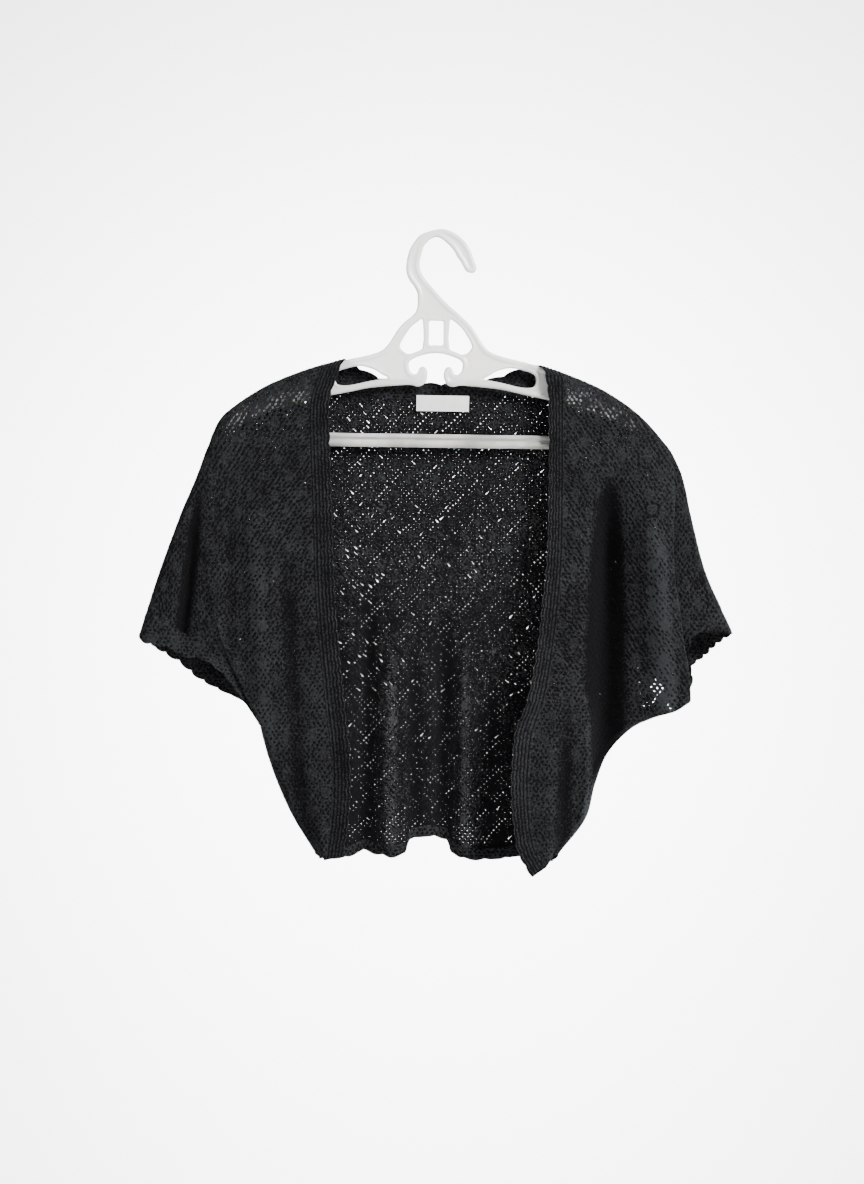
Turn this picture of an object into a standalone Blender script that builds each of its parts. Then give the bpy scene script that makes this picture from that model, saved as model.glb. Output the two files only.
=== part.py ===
"""Openwork knit bolero hanging open on a moulded plastic hanger.

All sizes are in millimetres until the meshes are made, which are in metres. The origin is the
inner top of the hanger's hook. +X is the viewer's right, -Y is the front and +Z is up. Left and
right are the wearer's, so the right half of the garment is at -X.

Each cloth piece is one grid of points on the middle of its wall, thickened by Solidify. The rows
of a body panel run from the shoulder seam down the armhole, then down the side seam. Where a
panel turns over at the shoulder or the side, its rows and columns follow the turn by angle.
"""
import math

import bmesh
import bpy
from mathutils import Vector

MM = 0.001
WALL = 1.5
SEAM = 0.3
HALF_SEAM = SEAM / 2

# Turns of the cloth, in degrees from the seam on the fold to the flat of the panel
SHOULDER_TURN = (0, 6, 33, 62, 90)
UNDERARM_TURN = (90, 60, 30, 0)
SIDE_TURN = (25, 50, 72, 86, 90)
TURN = 9.0
SIDE_WIDTH = 8.0
ARMHOLE_STEPS = 7
ARMHOLE_ROWS = len(SHOULDER_TURN) + ARMHOLE_STEPS - 1 + len(UNDERARM_TURN)
SIDE_STEPS = 6
FRONT_STEPS = 10
SHOULDER_STEPS = 5
SLEEVE_STEPS = 6
BEND_LENGTH = 60.0
LAP = 2.5
ARMHOLE_GAP = 0.95
SHOULDER_GAP = 1.6
UNDERARM_GAP = 3.0
CUFF_GAP = 0.8
HEM_GAP = 1.0
MOST_BEND = math.radians(80)
LEAST_SQUARE = 0.45
SHOULDER_DEPTH = 8.0
FLAT_SHARE = 0.35
NARROW_SHARE = 0.3
FULL_OVERHANG = 4.0
TOP_LINE_REACH = 0.6
SLEEVE_FOLD_RISE = 1.6
SCALLOP_ROUND = 0.7
LABEL_STEPS = 6
NECK_TURN = (8, 35, 65, 90)

# Scalloped edges: how many waves, how far they reach, and steps in each wave
SCALLOP_STEPS = 4
LEAST_STEP = 0.3
RUN_STEP = 0.003
FRONT_BAND_WAVES, FRONT_BAND_REACH = 38, 1.5
NECK_BAND_WAVES, NECK_BAND_REACH = 10, 2.5
CUFF_WAVES, CUFF_REACH = 16, 2.6
HEM_WAVES, HEM_REACH, HEM_BAND_WIDTH = 14, 2.0, 10.0
HEM_END, HEM_END_WIDTH, HEM_FLOW = 0.07, 4.0, 0.3

# The hanger, in its own upright frame, then turned about the hook
HANGER_ROLL = math.radians(0.8)
ARM_CLEARANCE = 2.1
HOOK_THICK, CENTRE_THICK, ARM_THICK, BAR_THICK = 7.0, 8.0, 7.0, 8.0
EDGE_ROUND = 1.5
JOIN_X = 40.0
BAR_TOP, BAR_DEPTH, BAR_HALF_LENGTH = -187.4, 12.8, 190.0

# Middle of the cloth over the hanger's arms: across, up
SHOULDER = (
    (84.0, -116.0),
    (106.0, -122.3),
    (125.0, -128.6),
    (146.0, -136.9),
    (163.0, -145.1),
    (186.0, -160.0),
    (203.0, -175.0),
)
SHOULDER_END = {"right": (-215.0, -191.0), "left": (217.5, -198.0)}
NECK_POINT = {"right": 86.0, "left": 99.0}
BAND_WIDTH = 18.5
SHOULDER_SLOPE = 0.28
NECK_LEAN = 0.45

# Depth of the cloth in front of and behind the hanger's middle, by level
LAYER_COLUMNS = ("level", "front_open", "front_side", "back_middle", "back_side")
LAYERS = (
    (-110.0, 8.5, 8.5, 8.5, 8.5),
    (-160.0, 9.5, 9.0, 9.5, 9.0),
    (-200.0, 11.0, 10.0, 11.0, 9.5),
    (-300.0, 14.0, 12.0, 14.0, 11.0),
    (-400.0, 16.0, 13.0, 16.0, 12.0),
    (-500.0, 18.0, 13.0, 17.0, 12.0),
    (-610.0, 19.0, 12.0, 18.0, 11.0),
)

# Armholes and side seams: x, z, overhang of the fold beyond the seam, depth of the front
# panel's outer edge, depth of the front layer at the seam
ARMHOLE = {
    "right": (
        (-217.0, -225.0, 0.0, 10.0, 10.0),
        (-219.0, -265.0, 0.0, 11.0, 11.0),
        (-219.0, -305.0, 0.0, 12.0, 12.0),
        (-214.0, -345.0, 0.0, 12.0, 12.0),
        (-202.0, -388.0, 0.0, 12.0, 12.0),
        (-186.0, -426.0, 0.0, 12.0, 12.0),
        (-168.5, -464.0, 0.0, 12.0, 12.0),
    ),
    "left": (
        (223.0, -218.0, 1.0, 11.0, 9.0),
        (223.0, -245.0, 5.0, 17.0, 10.0),
        (217.5, -285.0, 10.0, 25.0, 11.0),
        (218.0, -320.0, 10.0, 29.0, 12.0),
        (223.0, -355.0, 10.0, 30.0, 12.0),
        (226.0, -385.0, 11.0, 30.0, 12.0),
        (232.0, -412.0, 10.0, 28.0, 12.0),
        (237.0, -440.0, 6.0, 24.0, 12.0),
    ),
}
SIDE = {
    "right": (
        (-166.0, -475.0, 0.0, 12.0, 0.0),
        (-160.0, -496.0, 0.0, 12.0, 0.0),
        (-150.0, -523.0, 0.0, 12.0, 0.0),
        (-137.0, -551.0, 0.0, 11.0, 0.0),
        (-117.0, -583.0, 0.0, 11.0, 0.0),
    ),
    "left": (
        (228.0, -449.0, 2.0, 21.0, 0.0),
        (205.0, -457.0, 0.0, 16.0, 0.0),
        (184.0, -467.0, 0.0, 13.0, 0.0),
        (162.0, -490.0, 0.0, 13.0, 0.0),
        (150.0, -519.0, 0.0, 13.0, 0.0),
        (141.0, -552.0, 0.0, 13.0, 0.0),
        (115.0, -586.0, 0.0, 12.0, 0.0),
    ),
}

# Front bands: seam x, seam z, opening x, opening z, how far the opening stands forward
BAND = {
    "right": (
        (-118.5, -155.0, -101.5, -155.0, 0.0),
        (-119.0, -193.0, -101.5, -193.0, 0.0),
        (-117.0, -250.0, -99.5, -250.0, 0.0),
        (-114.0, -345.0, -96.0, -345.0, 1.0),
        (-105.5, -440.0, -87.5, -440.0, 2.0),
        (-101.0, -478.0, -83.5, -478.0, 3.0),
        (-99.0, -516.0, -81.5, -516.0, 4.0),
        (-101.0, -554.0, -83.5, -554.0, 4.0),
        (-106.0, -590.0, -88.5, -586.0, 3.0),
    ),
    "left": (
        (119.0, -155.0, 104.5, -155.0, 0.0),
        (118.5, -250.0, 104.5, -250.0, 1.0),
        (117.5, -307.0, 102.5, -307.0, 3.0),
        (114.5, -345.0, 98.5, -345.0, 4.0),
        (109.0, -392.0, 93.0, -392.0, 6.0),
        (100.5, -440.0, 83.5, -440.0, 7.0),
        (90.5, -470.0, 72.5, -468.0, 8.0),
        (86.5, -500.0, 69.5, -497.0, 8.0),
        (86.0, -530.0, 68.5, -525.0, 8.0),
        (88.0, -560.0, 70.5, -554.0, 8.0),
        (93.0, -582.0, 75.0, -582.0, 7.0),
        (102.0, -597.0, 88.0, -606.0, 6.0),
    ),
}

# The back: its neck seam and neck edge between the shoulders, and its lower edge, as x, z
NECK_SEAM = (
    (-99.0, -133.0),
    (-86.0, -142.5),
    (-60.0, -150.0),
    (-30.0, -153.5),
    (0.0, -154.5),
    (30.0, -153.5),
    (60.0, -150.0),
    (90.0, -142.5),
    (106.0, -133.0),
)
NECK_EDGE = (
    (-80.0, -119.5),
    (-71.0, -124.5),
    (-51.0, -133.0),
    (-25.0, -136.5),
    (0.0, -137.5),
    (26.0, -136.5),
    (52.0, -133.0),
    (70.0, -127.0),
    (84.0, -121.5),
)
HEM = (
    (-117.0, -583.0),
    (-88.0, -582.0),
    (-69.0, -576.0),
    (-56.0, -579.0),
    (-44.0, -581.5),
    (-31.0, -579.0),
    (-26.0, -565.0),
    (-10.0, -562.0),
    (9.0, -565.0),
    (13.0, -577.0),
    (24.0, -582.5),
    (40.0, -584.5),
    (60.0, -583.5),
    (78.0, -580.0),
    (115.0, -586.0),
)
# Columns of the back between the neck's corners, by their span of the hem: from, to, steps
HEM_SPANS = ((-80.0, -31.0, 8), (-31.0, -26.0, 1), (-26.0, 9.0, 6), (9.0, 13.0, 1), (13.0, 78.0, 8))

# Folds: x and z at the top, x and z at the foot, half width at top and foot, and height, which
# is towards the viewer where it is positive
FOLDS = {
    "back": (
        (-64.0, -300.0, -73.5, -600.0, 11.0, 11.0, -9.0),
        (-45.0, -340.0, -45.0, -600.0, 9.0, 10.0, 4.0),
        (-21.5, -350.0, -21.5, -600.0, 8.0, 8.0, -4.0),
        (7.0, -335.0, 2.5, -600.0, 11.0, 11.0, -10.0),
        (24.0, -340.0, 26.0, -600.0, 10.0, 10.0, 4.0),
        (50.0, -400.0, 54.0, -600.0, 12.0, 12.0, -5.0),
    ),
    "front_right": (
        (-150.0, -230.0, -128.0, -560.0, 14.0, 10.0, -3.0),
        (-176.0, -215.0, -160.0, -480.0, 14.0, 12.0, 3.0),
        (-196.0, -230.0, -196.0, -400.0, 10.0, 12.0, -2.5),
    ),
    "front_left": (
        (162.0, -215.0, 157.0, -475.0, 10.0, 17.0, -14.0),
        (199.0, -235.0, 213.0, -440.0, 13.0, 14.0, 5.0),
        (144.0, -420.0, 142.0, -545.0, 7.0, 7.0, 6.0),
        (122.0, -440.0, 118.0, -580.0, 9.0, 9.0, -4.0),
    ),
    "sleeve_right": ((-223.0, -225.0, -248.0, -420.0, 6.0, 7.0, -7.0),),
    "sleeve_left": (),
}
FOLD_FADE, FOLD_REACH = 0.35, 1.35

# Sleeves: the top fold from the shoulder's end to the cuff's seam, then the cuff's seam and its
# free edge, each from the top fold to the underarm in front and behind, as x, z
SLEEVE_TOP = {
    "right": ((-220.5, -204.0), (-229.0, -227.0), (-245.0, -265.0), (-264.5, -318.0), (-278.5, -361.0)),
    "left": ((223.0, -207.0), (232.0, -228.0), (240.5, -266.0), (254.0, -318.0), (271.5, -358.0)),
}
CUFF_SEAM = {
    "right": {
        "front": ((-278.5, -361.0), (-262.0, -367.0), (-245.0, -374.0), (-226.0, -382.0),
                  (-209.0, -396.0), (-195.0, -414.0), (-184.0, -436.0), (-177.0, -451.0)),
        "back": ((-278.5, -361.0), (-262.0, -371.0), (-245.0, -384.0), (-227.0, -398.0),
                 (-210.0, -412.0), (-195.0, -425.0), (-184.0, -439.0), (-177.0, -451.0)),
    },
    "left": {
        "front": ((271.5, -358.0), (258.0, -357.0), (246.0, -357.0), (236.0, -361.0),
                  (231.0, -372.0), (230.5, -388.0), (234.5, -408.0), (238.5, -430.0)),
        "back": ((271.5, -358.0), (260.0, -364.0), (249.0, -375.0), (240.0, -388.0),
                 (235.5, -402.0), (236.5, -418.0), (238.5, -430.0)),
    },
}
CUFF_EDGE = {
    "right": {
        "front": ((-284.5, -380.0), (-273.0, -388.0), (-254.0, -390.5), (-242.0, -398.0),
                  (-221.0, -402.0), (-207.0, -411.0), (-195.0, -424.0), (-185.0, -438.0)),
        "back": ((-284.5, -380.0), (-262.0, -396.0), (-247.0, -405.0), (-232.0, -418.0),
                 (-213.0, -429.0), (-199.0, -435.0), (-185.0, -438.0)),
    },
    "left": {
        "front": ((281.0, -378.0), (268.0, -376.0), (255.0, -376.0), (244.0, -378.0),
                  (239.0, -386.0), (238.0, -396.0), (239.5, -408.0), (242.0, -424.0)),
        "back": ((281.0, -378.0), (265.0, -390.0), (256.0, -399.0), (248.0, -404.5),
                 (243.0, -409.0), (241.0, -415.0), (242.0, -424.0)),
    },
}
CUFF_SEAM_DEPTH = {"right": 11.0, "left": 13.0}
CUFF_EDGE_DEPTH = {"right": 13.0, "left": 16.0}

# The label: its middle, size and thickness
LABEL_X, LABEL_Z, LABEL_TILT = 5.0, -157.5, math.radians(-1.0)
LABEL_WIDTH, LABEL_HEIGHT, LABEL_THICK = 50.0, 15.0, 0.8

# The hook's outline, in order round it: x, z
HOOK = (
    (-17.5, -62.5), (-17.5, -57.0), (-20.5, -48.5), (-26.5, -40.0), (-29.0, -30.5),
    (-27.0, -15.5), (-20.5, -3.5), (-14.0, 2.5), (0.0, 7.0), (9.0, 6.5), (18.5, 2.0),
    (26.5, -5.0), (32.0, -14.5), (34.5, -22.0), (37.0, -28.0), (36.5, -31.5), (33.5, -33.5),
    (29.0, -32.5), (26.5, -30.0), (23.0, -23.5), (19.0, -18.0), (16.0, -12.5), (9.0, -5.0),
    (1.0, 0.0), (-6.0, -1.5), (-12.5, -7.5), (-15.0, -15.0), (-17.0, -24.5), (-16.0, -32.5),
    (-11.0, -41.0), (-3.0, -50.0), (7.0, -61.0), (9.5, -62.5),
)
# Half outlines of the hanger's middle, from its top to its foot, and of its side window
CENTRE = (
    (0.0, -62.8), (9.5, -62.8), (19.5, -72.0), (30.5, -82.0), (37.0, -90.0), (JOIN_X, -94.5),
    (JOIN_X, -140.0), (25.5, -140.0), (17.0, -141.0), (11.0, -138.0), (8.6, -132.0),
    (11.0, -125.0), (14.0, -126.0), (12.6, -131.5), (15.0, -135.5), (20.0, -136.5),
    (25.0, -133.0), (25.0, -118.0), (12.5, -112.0), (0.0, -110.0),
)
SIDE_WINDOW = (
    (12.5, -79.0), (17.0, -79.5), (25.5, -87.0), (34.0, -101.0), (33.5, -107.0), (26.0, -112.0),
    (12.5, -106.5),
)
MIDDLE_WINDOW = ((-7.0, -79.0), (7.0, -79.0), (7.0, -104.0), (0.0, -103.5), (-7.0, -104.0))
# The arm, from the join out along its upper edge, and its window
ARM_INNER = ((JOIN_X + SEAM, -94.5), (43.5, -100.5), (50.0, -108.0), (62.0, -113.0))
ARM_OUTER = (
    (200.3, -177.0), (202.5, -184.5), (204.5, -190.0), (203.5, -198.0), (199.0, -202.0),
    (BAR_HALF_LENGTH + SEAM, -203.0), (BAR_HALF_LENGTH + SEAM, -186.5),
    (176.0, -177.0), (150.0, -165.5), (125.0, -158.0), (104.0, -152.5), (81.0, -147.8),
    (60.0, -143.4), (JOIN_X + SEAM, -140.0),
)
ARM_WINDOW = (
    (44.5, -133.6), (51.0, -130.6), (58.0, -126.3), (72.0, -123.0), (88.0, -126.5),
    (94.5, -130.0), (96.0, -135.5), (93.0, -142.0), (81.0, -142.4), (62.0, -138.2), (44.5, -135.2),
)


def collection(name):
    group = bpy.data.collections.new(name)
    bpy.context.scene.collection.children.link(group)
    return group


def material(name, color, roughness):
    made = bpy.data.materials.new(name)
    made.use_nodes = True
    shader = made.node_tree.nodes["Principled BSDF"]
    shader.inputs["Base Color"].default_value = (*color, 1.0)
    shader.inputs["Roughness"].default_value = roughness
    shader.inputs["Metallic"].default_value = 0.0
    return made


def knit(name):
    return material(name + "_knit", (0.022, 0.022, 0.025), 0.85)


def plastic(name):
    return material(name + "_plastic", (0.78, 0.74, 0.64), 0.35)


def spline(rows):
    """A smooth line through rows of numbers, as a function of 0 to 1, and its length in x, z."""
    points = [Vector(row) for row in rows]
    marks = [0.0]
    for before, after in zip(points, points[1:]):
        marks.append(marks[-1] + (after - before).to_2d().length)
    last = len(points) - 1
    slopes = []
    for i in range(last + 1):
        low, high = max(i - 1, 0), min(i + 1, last)
        slopes.append((points[high] - points[low]) / (marks[high] - marks[low]))

    def at(t):
        place = min(max(t, 0.0), 1.0) * marks[-1]
        i = 0
        while i < last - 1 and marks[i + 1] < place:
            i += 1
        span = marks[i + 1] - marks[i]
        s = (place - marks[i]) / span
        return (points[i] * (2 * s**3 - 3 * s**2 + 1)
                + slopes[i] * (span * (s**3 - 2 * s**2 + s))
                + points[i + 1] * (3 * s**2 - 2 * s**3)
                + slopes[i + 1] * (span * (s**3 - s**2)))

    return at, marks[-1]


def between(rows, level):
    """The values of a table's row at a level, straight between rows that run downwards."""
    for high, low in zip(rows, rows[1:]):
        if level >= low[0] or low is rows[-1]:
            s = min(max((high[0] - level) / (high[0] - low[0]), 0.0), 1.0)
            return [a + (b - a) * s for a, b in zip(high, low)]


def layer(level, name):
    return between(LAYERS, level)[LAYER_COLUMNS.index(name)]


def smooth(s):
    s = min(max(s, 0.0), 1.0)
    return s * s * (3 - 2 * s)


def mix(a, b, s):
    return a + (b - a) * s


def folds(name, x, z):
    """How far the folds of a piece lift it towards the viewer at a place."""
    lift = 0.0
    for x_top, z_top, x_foot, z_foot, half_top, half_foot, height in FOLDS[name]:
        along = (z_top - z) / (z_top - z_foot)
        middle = mix(x_top, x_foot, along)
        half = mix(half_top, half_foot, min(max(along, 0.0), 1.0))
        fade = smooth(along / FOLD_FADE) * smooth((FOLD_REACH - along) / FOLD_FADE)
        lift += height * fade * math.exp(-((x - middle) / half) ** 2)
    return lift


def tilt(across, up):
    """A place in the hanger's upright frame, turned with the hanger."""
    return (across * math.cos(HANGER_ROLL) + up * math.sin(HANGER_ROLL),
            up * math.cos(HANGER_ROLL) - across * math.sin(HANGER_ROLL))


def sign(side):
    return -1 if side == "right" else 1


def shoulder_line(side):
    rows = [tilt(sign(side) * across, up) for across, up in SHOULDER]
    return spline(rows + [SHOULDER_END[side]])


def shoulder_at(side, across):
    """The place on a side's shoulder line at a distance from the hanger's middle."""
    line, length = shoulder_line(side)
    return line(math.hypot(1, SHOULDER_SLOPE) * (across - SHOULDER[0][0]) / length)


def neck_corner(side):
    return shoulder_at(side, NECK_POINT[side] + BAND_WIDTH)


def shoulder_height(x):
    """The level of the shoulders over a place, carried straight on across the neck."""
    side = "right" if x < 0 else "left"
    neck = shoulder_at(side, NECK_POINT[side])
    if abs(x) <= abs(neck.x):
        return neck.y + SHOULDER_SLOPE * (abs(neck.x) - abs(x))
    line, _ = shoulder_line(side)
    low, high = 0.0, 1.0
    for _ in range(20):
        middle = (low + high) / 2
        if abs(line(middle).x) < abs(x):
            low = middle
        else:
            high = middle
    return line(low).y


def shoulder_drop(x, z):
    """How far a place near the neck has turned down from the line of the shoulders, 0 to 1."""
    s = min(max((shoulder_height(x) - z) / TURN, 0.0), 1.0)
    return math.sqrt(1 - (1 - s) ** 2)


def neck_run(side, drop):
    """The way down a front's neck edge for a drop: outwards a little as it goes down."""
    return Vector((sign(side) * NECK_LEAN * -drop, drop))


def neck_marks(length, steps):
    """Places along the back's neck line: by angle while it turns at both ends, then even."""
    ends = [TURN * (1 - math.cos(math.radians(a))) / length for a in NECK_TURN]
    inner = steps - 2 * len(ends)
    middle = [mix(ends[-1], 1 - ends[-1], k / inner) for k in range(1, inner)]
    return [0.0] + ends + middle + [1 - end for end in reversed(ends)] + [1.0]


def turn_marks(length):
    """Places along an armhole or cuff line with their turns at the top and the underarm."""
    radius = min(TURN, length / 5)
    marks = [(radius * (1 - math.cos(math.radians(a))), math.sin(math.radians(a)), 1.0)
             for a in SHOULDER_TURN]
    start, end = radius, length - radius
    for k in range(1, ARMHOLE_STEPS):
        marks.append((mix(start, end, k / ARMHOLE_STEPS), 1.0, 1.0))
    for a in UNDERARM_TURN:
        marks.append((length - radius * (1 - math.cos(math.radians(a))), 1.0,
                      math.sin(math.radians(a))))
    return [(place / length, top, under) for place, top, under in marks]


def outer_line(side):
    """Rows down a body panel's outer seam: its place, overhang, depths and turns."""
    first = shoulder_line(side)[0](1.0)
    head = (first.x, first.y, 0.0, SHOULDER_DEPTH, SHOULDER_DEPTH)
    armhole, arm_length = spline((head,) + ARMHOLE[side])
    seam, _ = spline((ARMHOLE[side][-1],) + SIDE[side])
    rows = []
    for t, top, under in turn_marks(arm_length):
        x, z, overhang, edge, depth = armhole(t)
        rows.append([Vector((x, z)), overhang, edge, depth, top, under])
    for k in range(1, SIDE_STEPS + 1):
        x, z, overhang, edge, depth = seam(k / SIDE_STEPS)
        rows.append([Vector((x, z)), overhang, edge, 0.0, 1.0, 0.0])
    total = 0.0
    for i, row in enumerate(rows):
        total += (row[0] - rows[max(i - 1, 0)][0]).length
        row.append(total)
    for row in rows:
        row[-1] /= total
    line, length = shoulder_line(side)
    outward = (line(1.0) - line(1.0 - SIDE_WIDTH / length)).normalized()
    for i, row in enumerate(rows):
        run = rows[min(i + 1, len(rows) - 1)][0] - rows[max(i - 1, 0)][0]
        across = Vector((run.y, -run.x)).normalized() * -sign(side)
        bend = smooth(row[6] * total / BEND_LENGTH)
        way = outward.lerp(Vector((sign(side), 0.0)), bend).normalized()
        row.append(way)
        gap = ARMHOLE_GAP + SHOULDER_GAP * (1 - row[4]) + UNDERARM_GAP * (1 - row[5])
        row.append(gap / 2 / max(way.dot(across), LEAST_SQUARE))
    return rows


def panel_points(inner, outer, top, bottom, across, down):
    """Places of a four-sided panel between its four edges."""
    last_row = len(down) - 1
    grid = []
    for j, b in enumerate(down):
        row = []
        for i, a in enumerate(across):
            edges = (inner[j] * (1 - a) + outer[j] * a + top[i] * (1 - b) + bottom[i] * b)
            corners = (inner[0] * (1 - a) * (1 - b) + outer[0] * a * (1 - b)
                       + inner[last_row] * (1 - a) * b + outer[last_row] * a * b)
            row.append(edges - corners)
        grid.append(row)
    return grid


def narrow(row_length):
    return min(SIDE_WIDTH, NARROW_SHARE * row_length)


def side_turn(row, depth, width, overhang, edge_seam):
    """Points of a row past its flat part, turned over to the seam: the nearest is first."""
    points = []
    outward = row[7]
    for angle in SIDE_TURN:
        turn = math.radians(angle)
        reach = (overhang - width) + width * math.sin(turn) - overhang * (1 - math.cos(turn))
        spot = row[0] + outward * (reach - row[8])
        points.append((spot, edge_seam + (depth - edge_seam) * math.cos(turn)))
    return points


def front_panel(side):
    """Points of a front panel in rows from the shoulder down, from the band seam outwards."""
    rows = outer_line(side)
    name = "front_" + side
    down = [row[6] for row in rows]
    corner = neck_corner(side)
    turned = len(SHOULDER_TURN) - 1
    inner = [corner + neck_run(side, -(row[0] - rows[0][0]).length) for row in rows[:turned + 1]]
    seam, _ = spline([tuple(inner[-1])] + [row[:2] for row in BAND[side]])
    inner += [seam((b - down[turned]) / (1 - down[turned])) for b in down[turned + 1:]]
    widths = [narrow((row[0] - inner[j]).length) for j, row in enumerate(rows)]
    edge = [row[0] + row[7] * (row[1] - width) for row, width in zip(rows, widths)]
    across = [i / FRONT_STEPS for i in range(FRONT_STEPS + 1)]
    line, length = shoulder_line(side)
    start = (corner - line(0.0)).length / length
    top = [line(mix(start, 1 - SIDE_WIDTH / length, a)) for a in across]
    top[0], top[-1] = inner[0], edge[0]
    bottom = [inner[-1].lerp(edge[-1], a) for a in across]
    flat = panel_points(inner, edge, top, bottom, across, down)
    grid = []
    for j, row in enumerate(rows):
        points = []
        for a, spot in zip(across, flat[j]):
            open_depth = layer(spot.y, "front_open")
            depth = mix(open_depth, row[2], smooth((a - FLAT_SHARE) / (1 - FLAT_SHARE))) + folds(name, *spot)
            points.append((spot, depth))
        seam_depth = row[3] * row[5] + LAP * min(row[1] / FULL_OVERHANG, 1.0)
        points += side_turn(row, points[-1][1], widths[j], row[1], seam_depth)
        grid.append([Vector((spot.x, -(HALF_SEAM + depth * row[4]), spot.y)) for spot, depth in points])
    return grid


def back_columns():
    """Fractions across the back's flat part, with the place of each on the hem."""
    right_end, left_end = HEM[0][0] + SIDE_WIDTH / 2, HEM[-1][0] - SIDE_WIDTH / 2
    places = [mix(right_end, HEM_SPANS[0][0], k / SHOULDER_STEPS) for k in range(SHOULDER_STEPS)]
    for start, end, steps in HEM_SPANS:
        places += [mix(start, end, k / steps) for k in range(steps)]
    places += [mix(HEM_SPANS[-1][1], left_end, k / SHOULDER_STEPS) for k in range(SHOULDER_STEPS + 1)]
    return places


def back_panel():
    """Points of the back in rows from the shoulders down, from the wearer's right to left."""
    rows = {side: outer_line(side) for side in ("right", "left")}
    down = [(r[6] + l[6]) / 2 for r, l in zip(rows["right"], rows["left"])]
    hem_places = back_columns()
    last = len(hem_places) - 1
    across = [i / last for i in range(last + 1)]
    lines = {side: shoulder_line(side) for side in rows}
    shoulders = {}
    for side, (line, length) in lines.items():
        start = (neck_corner(side) - line(0.0)).length / length
        end = 1 - SIDE_WIDTH / length
        shoulders[side] = [line(mix(start, end, k / SHOULDER_STEPS)) for k in range(SHOULDER_STEPS + 1)]
    corners = [tuple(neck_corner(side)) for side in ("right", "left")]
    neck, neck_length = spline([corners[0]] + list(NECK_SEAM) + [corners[1]])
    marks = neck_marks(neck_length, last - 2 * SHOULDER_STEPS)
    top = shoulders["right"][:0:-1] + [neck(mark) for mark in marks] + shoulders["left"][1:]
    edges = {}
    for side in rows:
        edges[side] = [row[0] - row[7] * SIDE_WIDTH for row in rows[side]]
    edges["right"][0], edges["left"][0] = top[0], top[-1]
    bottom = [Vector((x, between_x(HEM, x))) for x in hem_places]
    edges["right"][-1], edges["left"][-1] = bottom[0], bottom[-1]
    flat = panel_points(edges["right"], edges["left"], top, bottom, across, down)
    grid = []
    for j in range(len(down)):
        turn = rows["right"][j][4]
        points = []
        for i, spot in enumerate(flat[j]):
            from_middle = abs(2 * across[i] - 1)
            depth = mix(layer(spot.y, "back_middle"), layer(spot.y, "back_side"), smooth(from_middle))
            depth -= folds("back", *spot)
            bare = SHOULDER_STEPS <= i <= last - SHOULDER_STEPS
            neck_turn = shoulder_drop(*top[i]) if bare else 0.0
            points.append((spot, depth * (1 - (1 - neck_turn) * (1 - turn))))
        ends = {}
        for side, depth in (("right", points[0][1]), ("left", points[-1][1])):
            row = rows[side][j]
            seam_depth = layer(row[0].y, "back_side") * row[5] * turn
            ends[side] = side_turn(row, depth, SIDE_WIDTH, 0.0, seam_depth)
        points = ends["right"][::-1] + points + ends["left"]
        grid.append([Vector((spot.x, HALF_SEAM + depth, spot.y)) for spot, depth in points])
    return grid


def between_x(rows, x):
    """The second column of a table at a value of its rising first column."""
    for low, high in zip(rows, rows[1:]):
        if x <= high[0]:
            return mix(low[1], high[1], max((x - low[0]) / (high[0] - low[0]), 0.0))
    return rows[-1][1]


def sleeve_rings(side):
    """Rings of a sleeve from its armhole to the cuff's seam: down the front and up the back."""
    rows = outer_line(side)[:ARMHOLE_ROWS]
    top_line, _ = spline([tuple(rows[0][0])] + list(SLEEVE_TOP[side]))
    rings = []
    for k in range(SLEEVE_STEPS + 1):
        v = k / SLEEVE_STEPS
        halves = {}
        for face, way in (("front", -1), ("back", 1)):
            cuff, cuff_length = spline(CUFF_SEAM[side][face])
            half = []
            for row, (t, top, under) in zip(rows, turn_marks(cuff_length)):
                start = row[0] + row[7] * row[8]
                spot = start.lerp(cuff(t), v)
                line = rows[0][0].lerp(cuff(0.0), v)
                spot = spot + (top_line(v) - line) * (1 - smooth(t / TOP_LINE_REACH))
                seam_depth = row[3] if face == "front" else layer(row[0].y, "back_side")
                depth = mix(seam_depth, CUFF_SEAM_DEPTH[side], v) * top * under
                if face == "front":
                    depth += folds("sleeve_" + side, *spot) * top * under * smooth(v * SLEEVE_FOLD_RISE)
                half.append(Vector((spot.x, way * depth, spot.y)))
            halves[face] = half
        rings.append(halves["front"] + halves["back"][-2:0:-1])
    return rings


def place_on(points, t):
    """The place at a part of the way along a chain of points: its step, and how far into it."""
    lengths = [(b - a).length for a, b in zip(points, points[1:])]
    left = min(max(t, 0.0), 1.0) * sum(lengths)
    for i, length in enumerate(lengths):
        if left <= length or i == len(lengths) - 1:
            return i, min(left / length, 1.0)
        left -= length


def point_at(points, place):
    return points[place[0]].lerp(points[place[0] + 1], place[1])


def marks_of(points):
    """How far along a chain each of its points lies, 0 to 1."""
    marks = [0.0]
    for a, b in zip(points, points[1:]):
        marks.append(marks[-1] + (b - a).length)
    return [mark / marks[-1] for mark in marks]


def square_to(run, way):
    """A direction made square to a line that it leaves, with unit length."""
    return (way - run * way.dot(run)).normalized()


def seam_point(seam, inner, edge, run, least):
    """The point of a strip beside a seam.

    The gap grows with the angle between the two pieces, so that their walls, which are square
    to each of them, keep the seam's width at their nearest corners.
    """
    way = square_to(run, edge - seam)
    bend = min(way.angle(square_to(run, seam - inner)), MOST_BEND)
    return seam + way * (least + WALL * math.tan(bend / 2))


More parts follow.
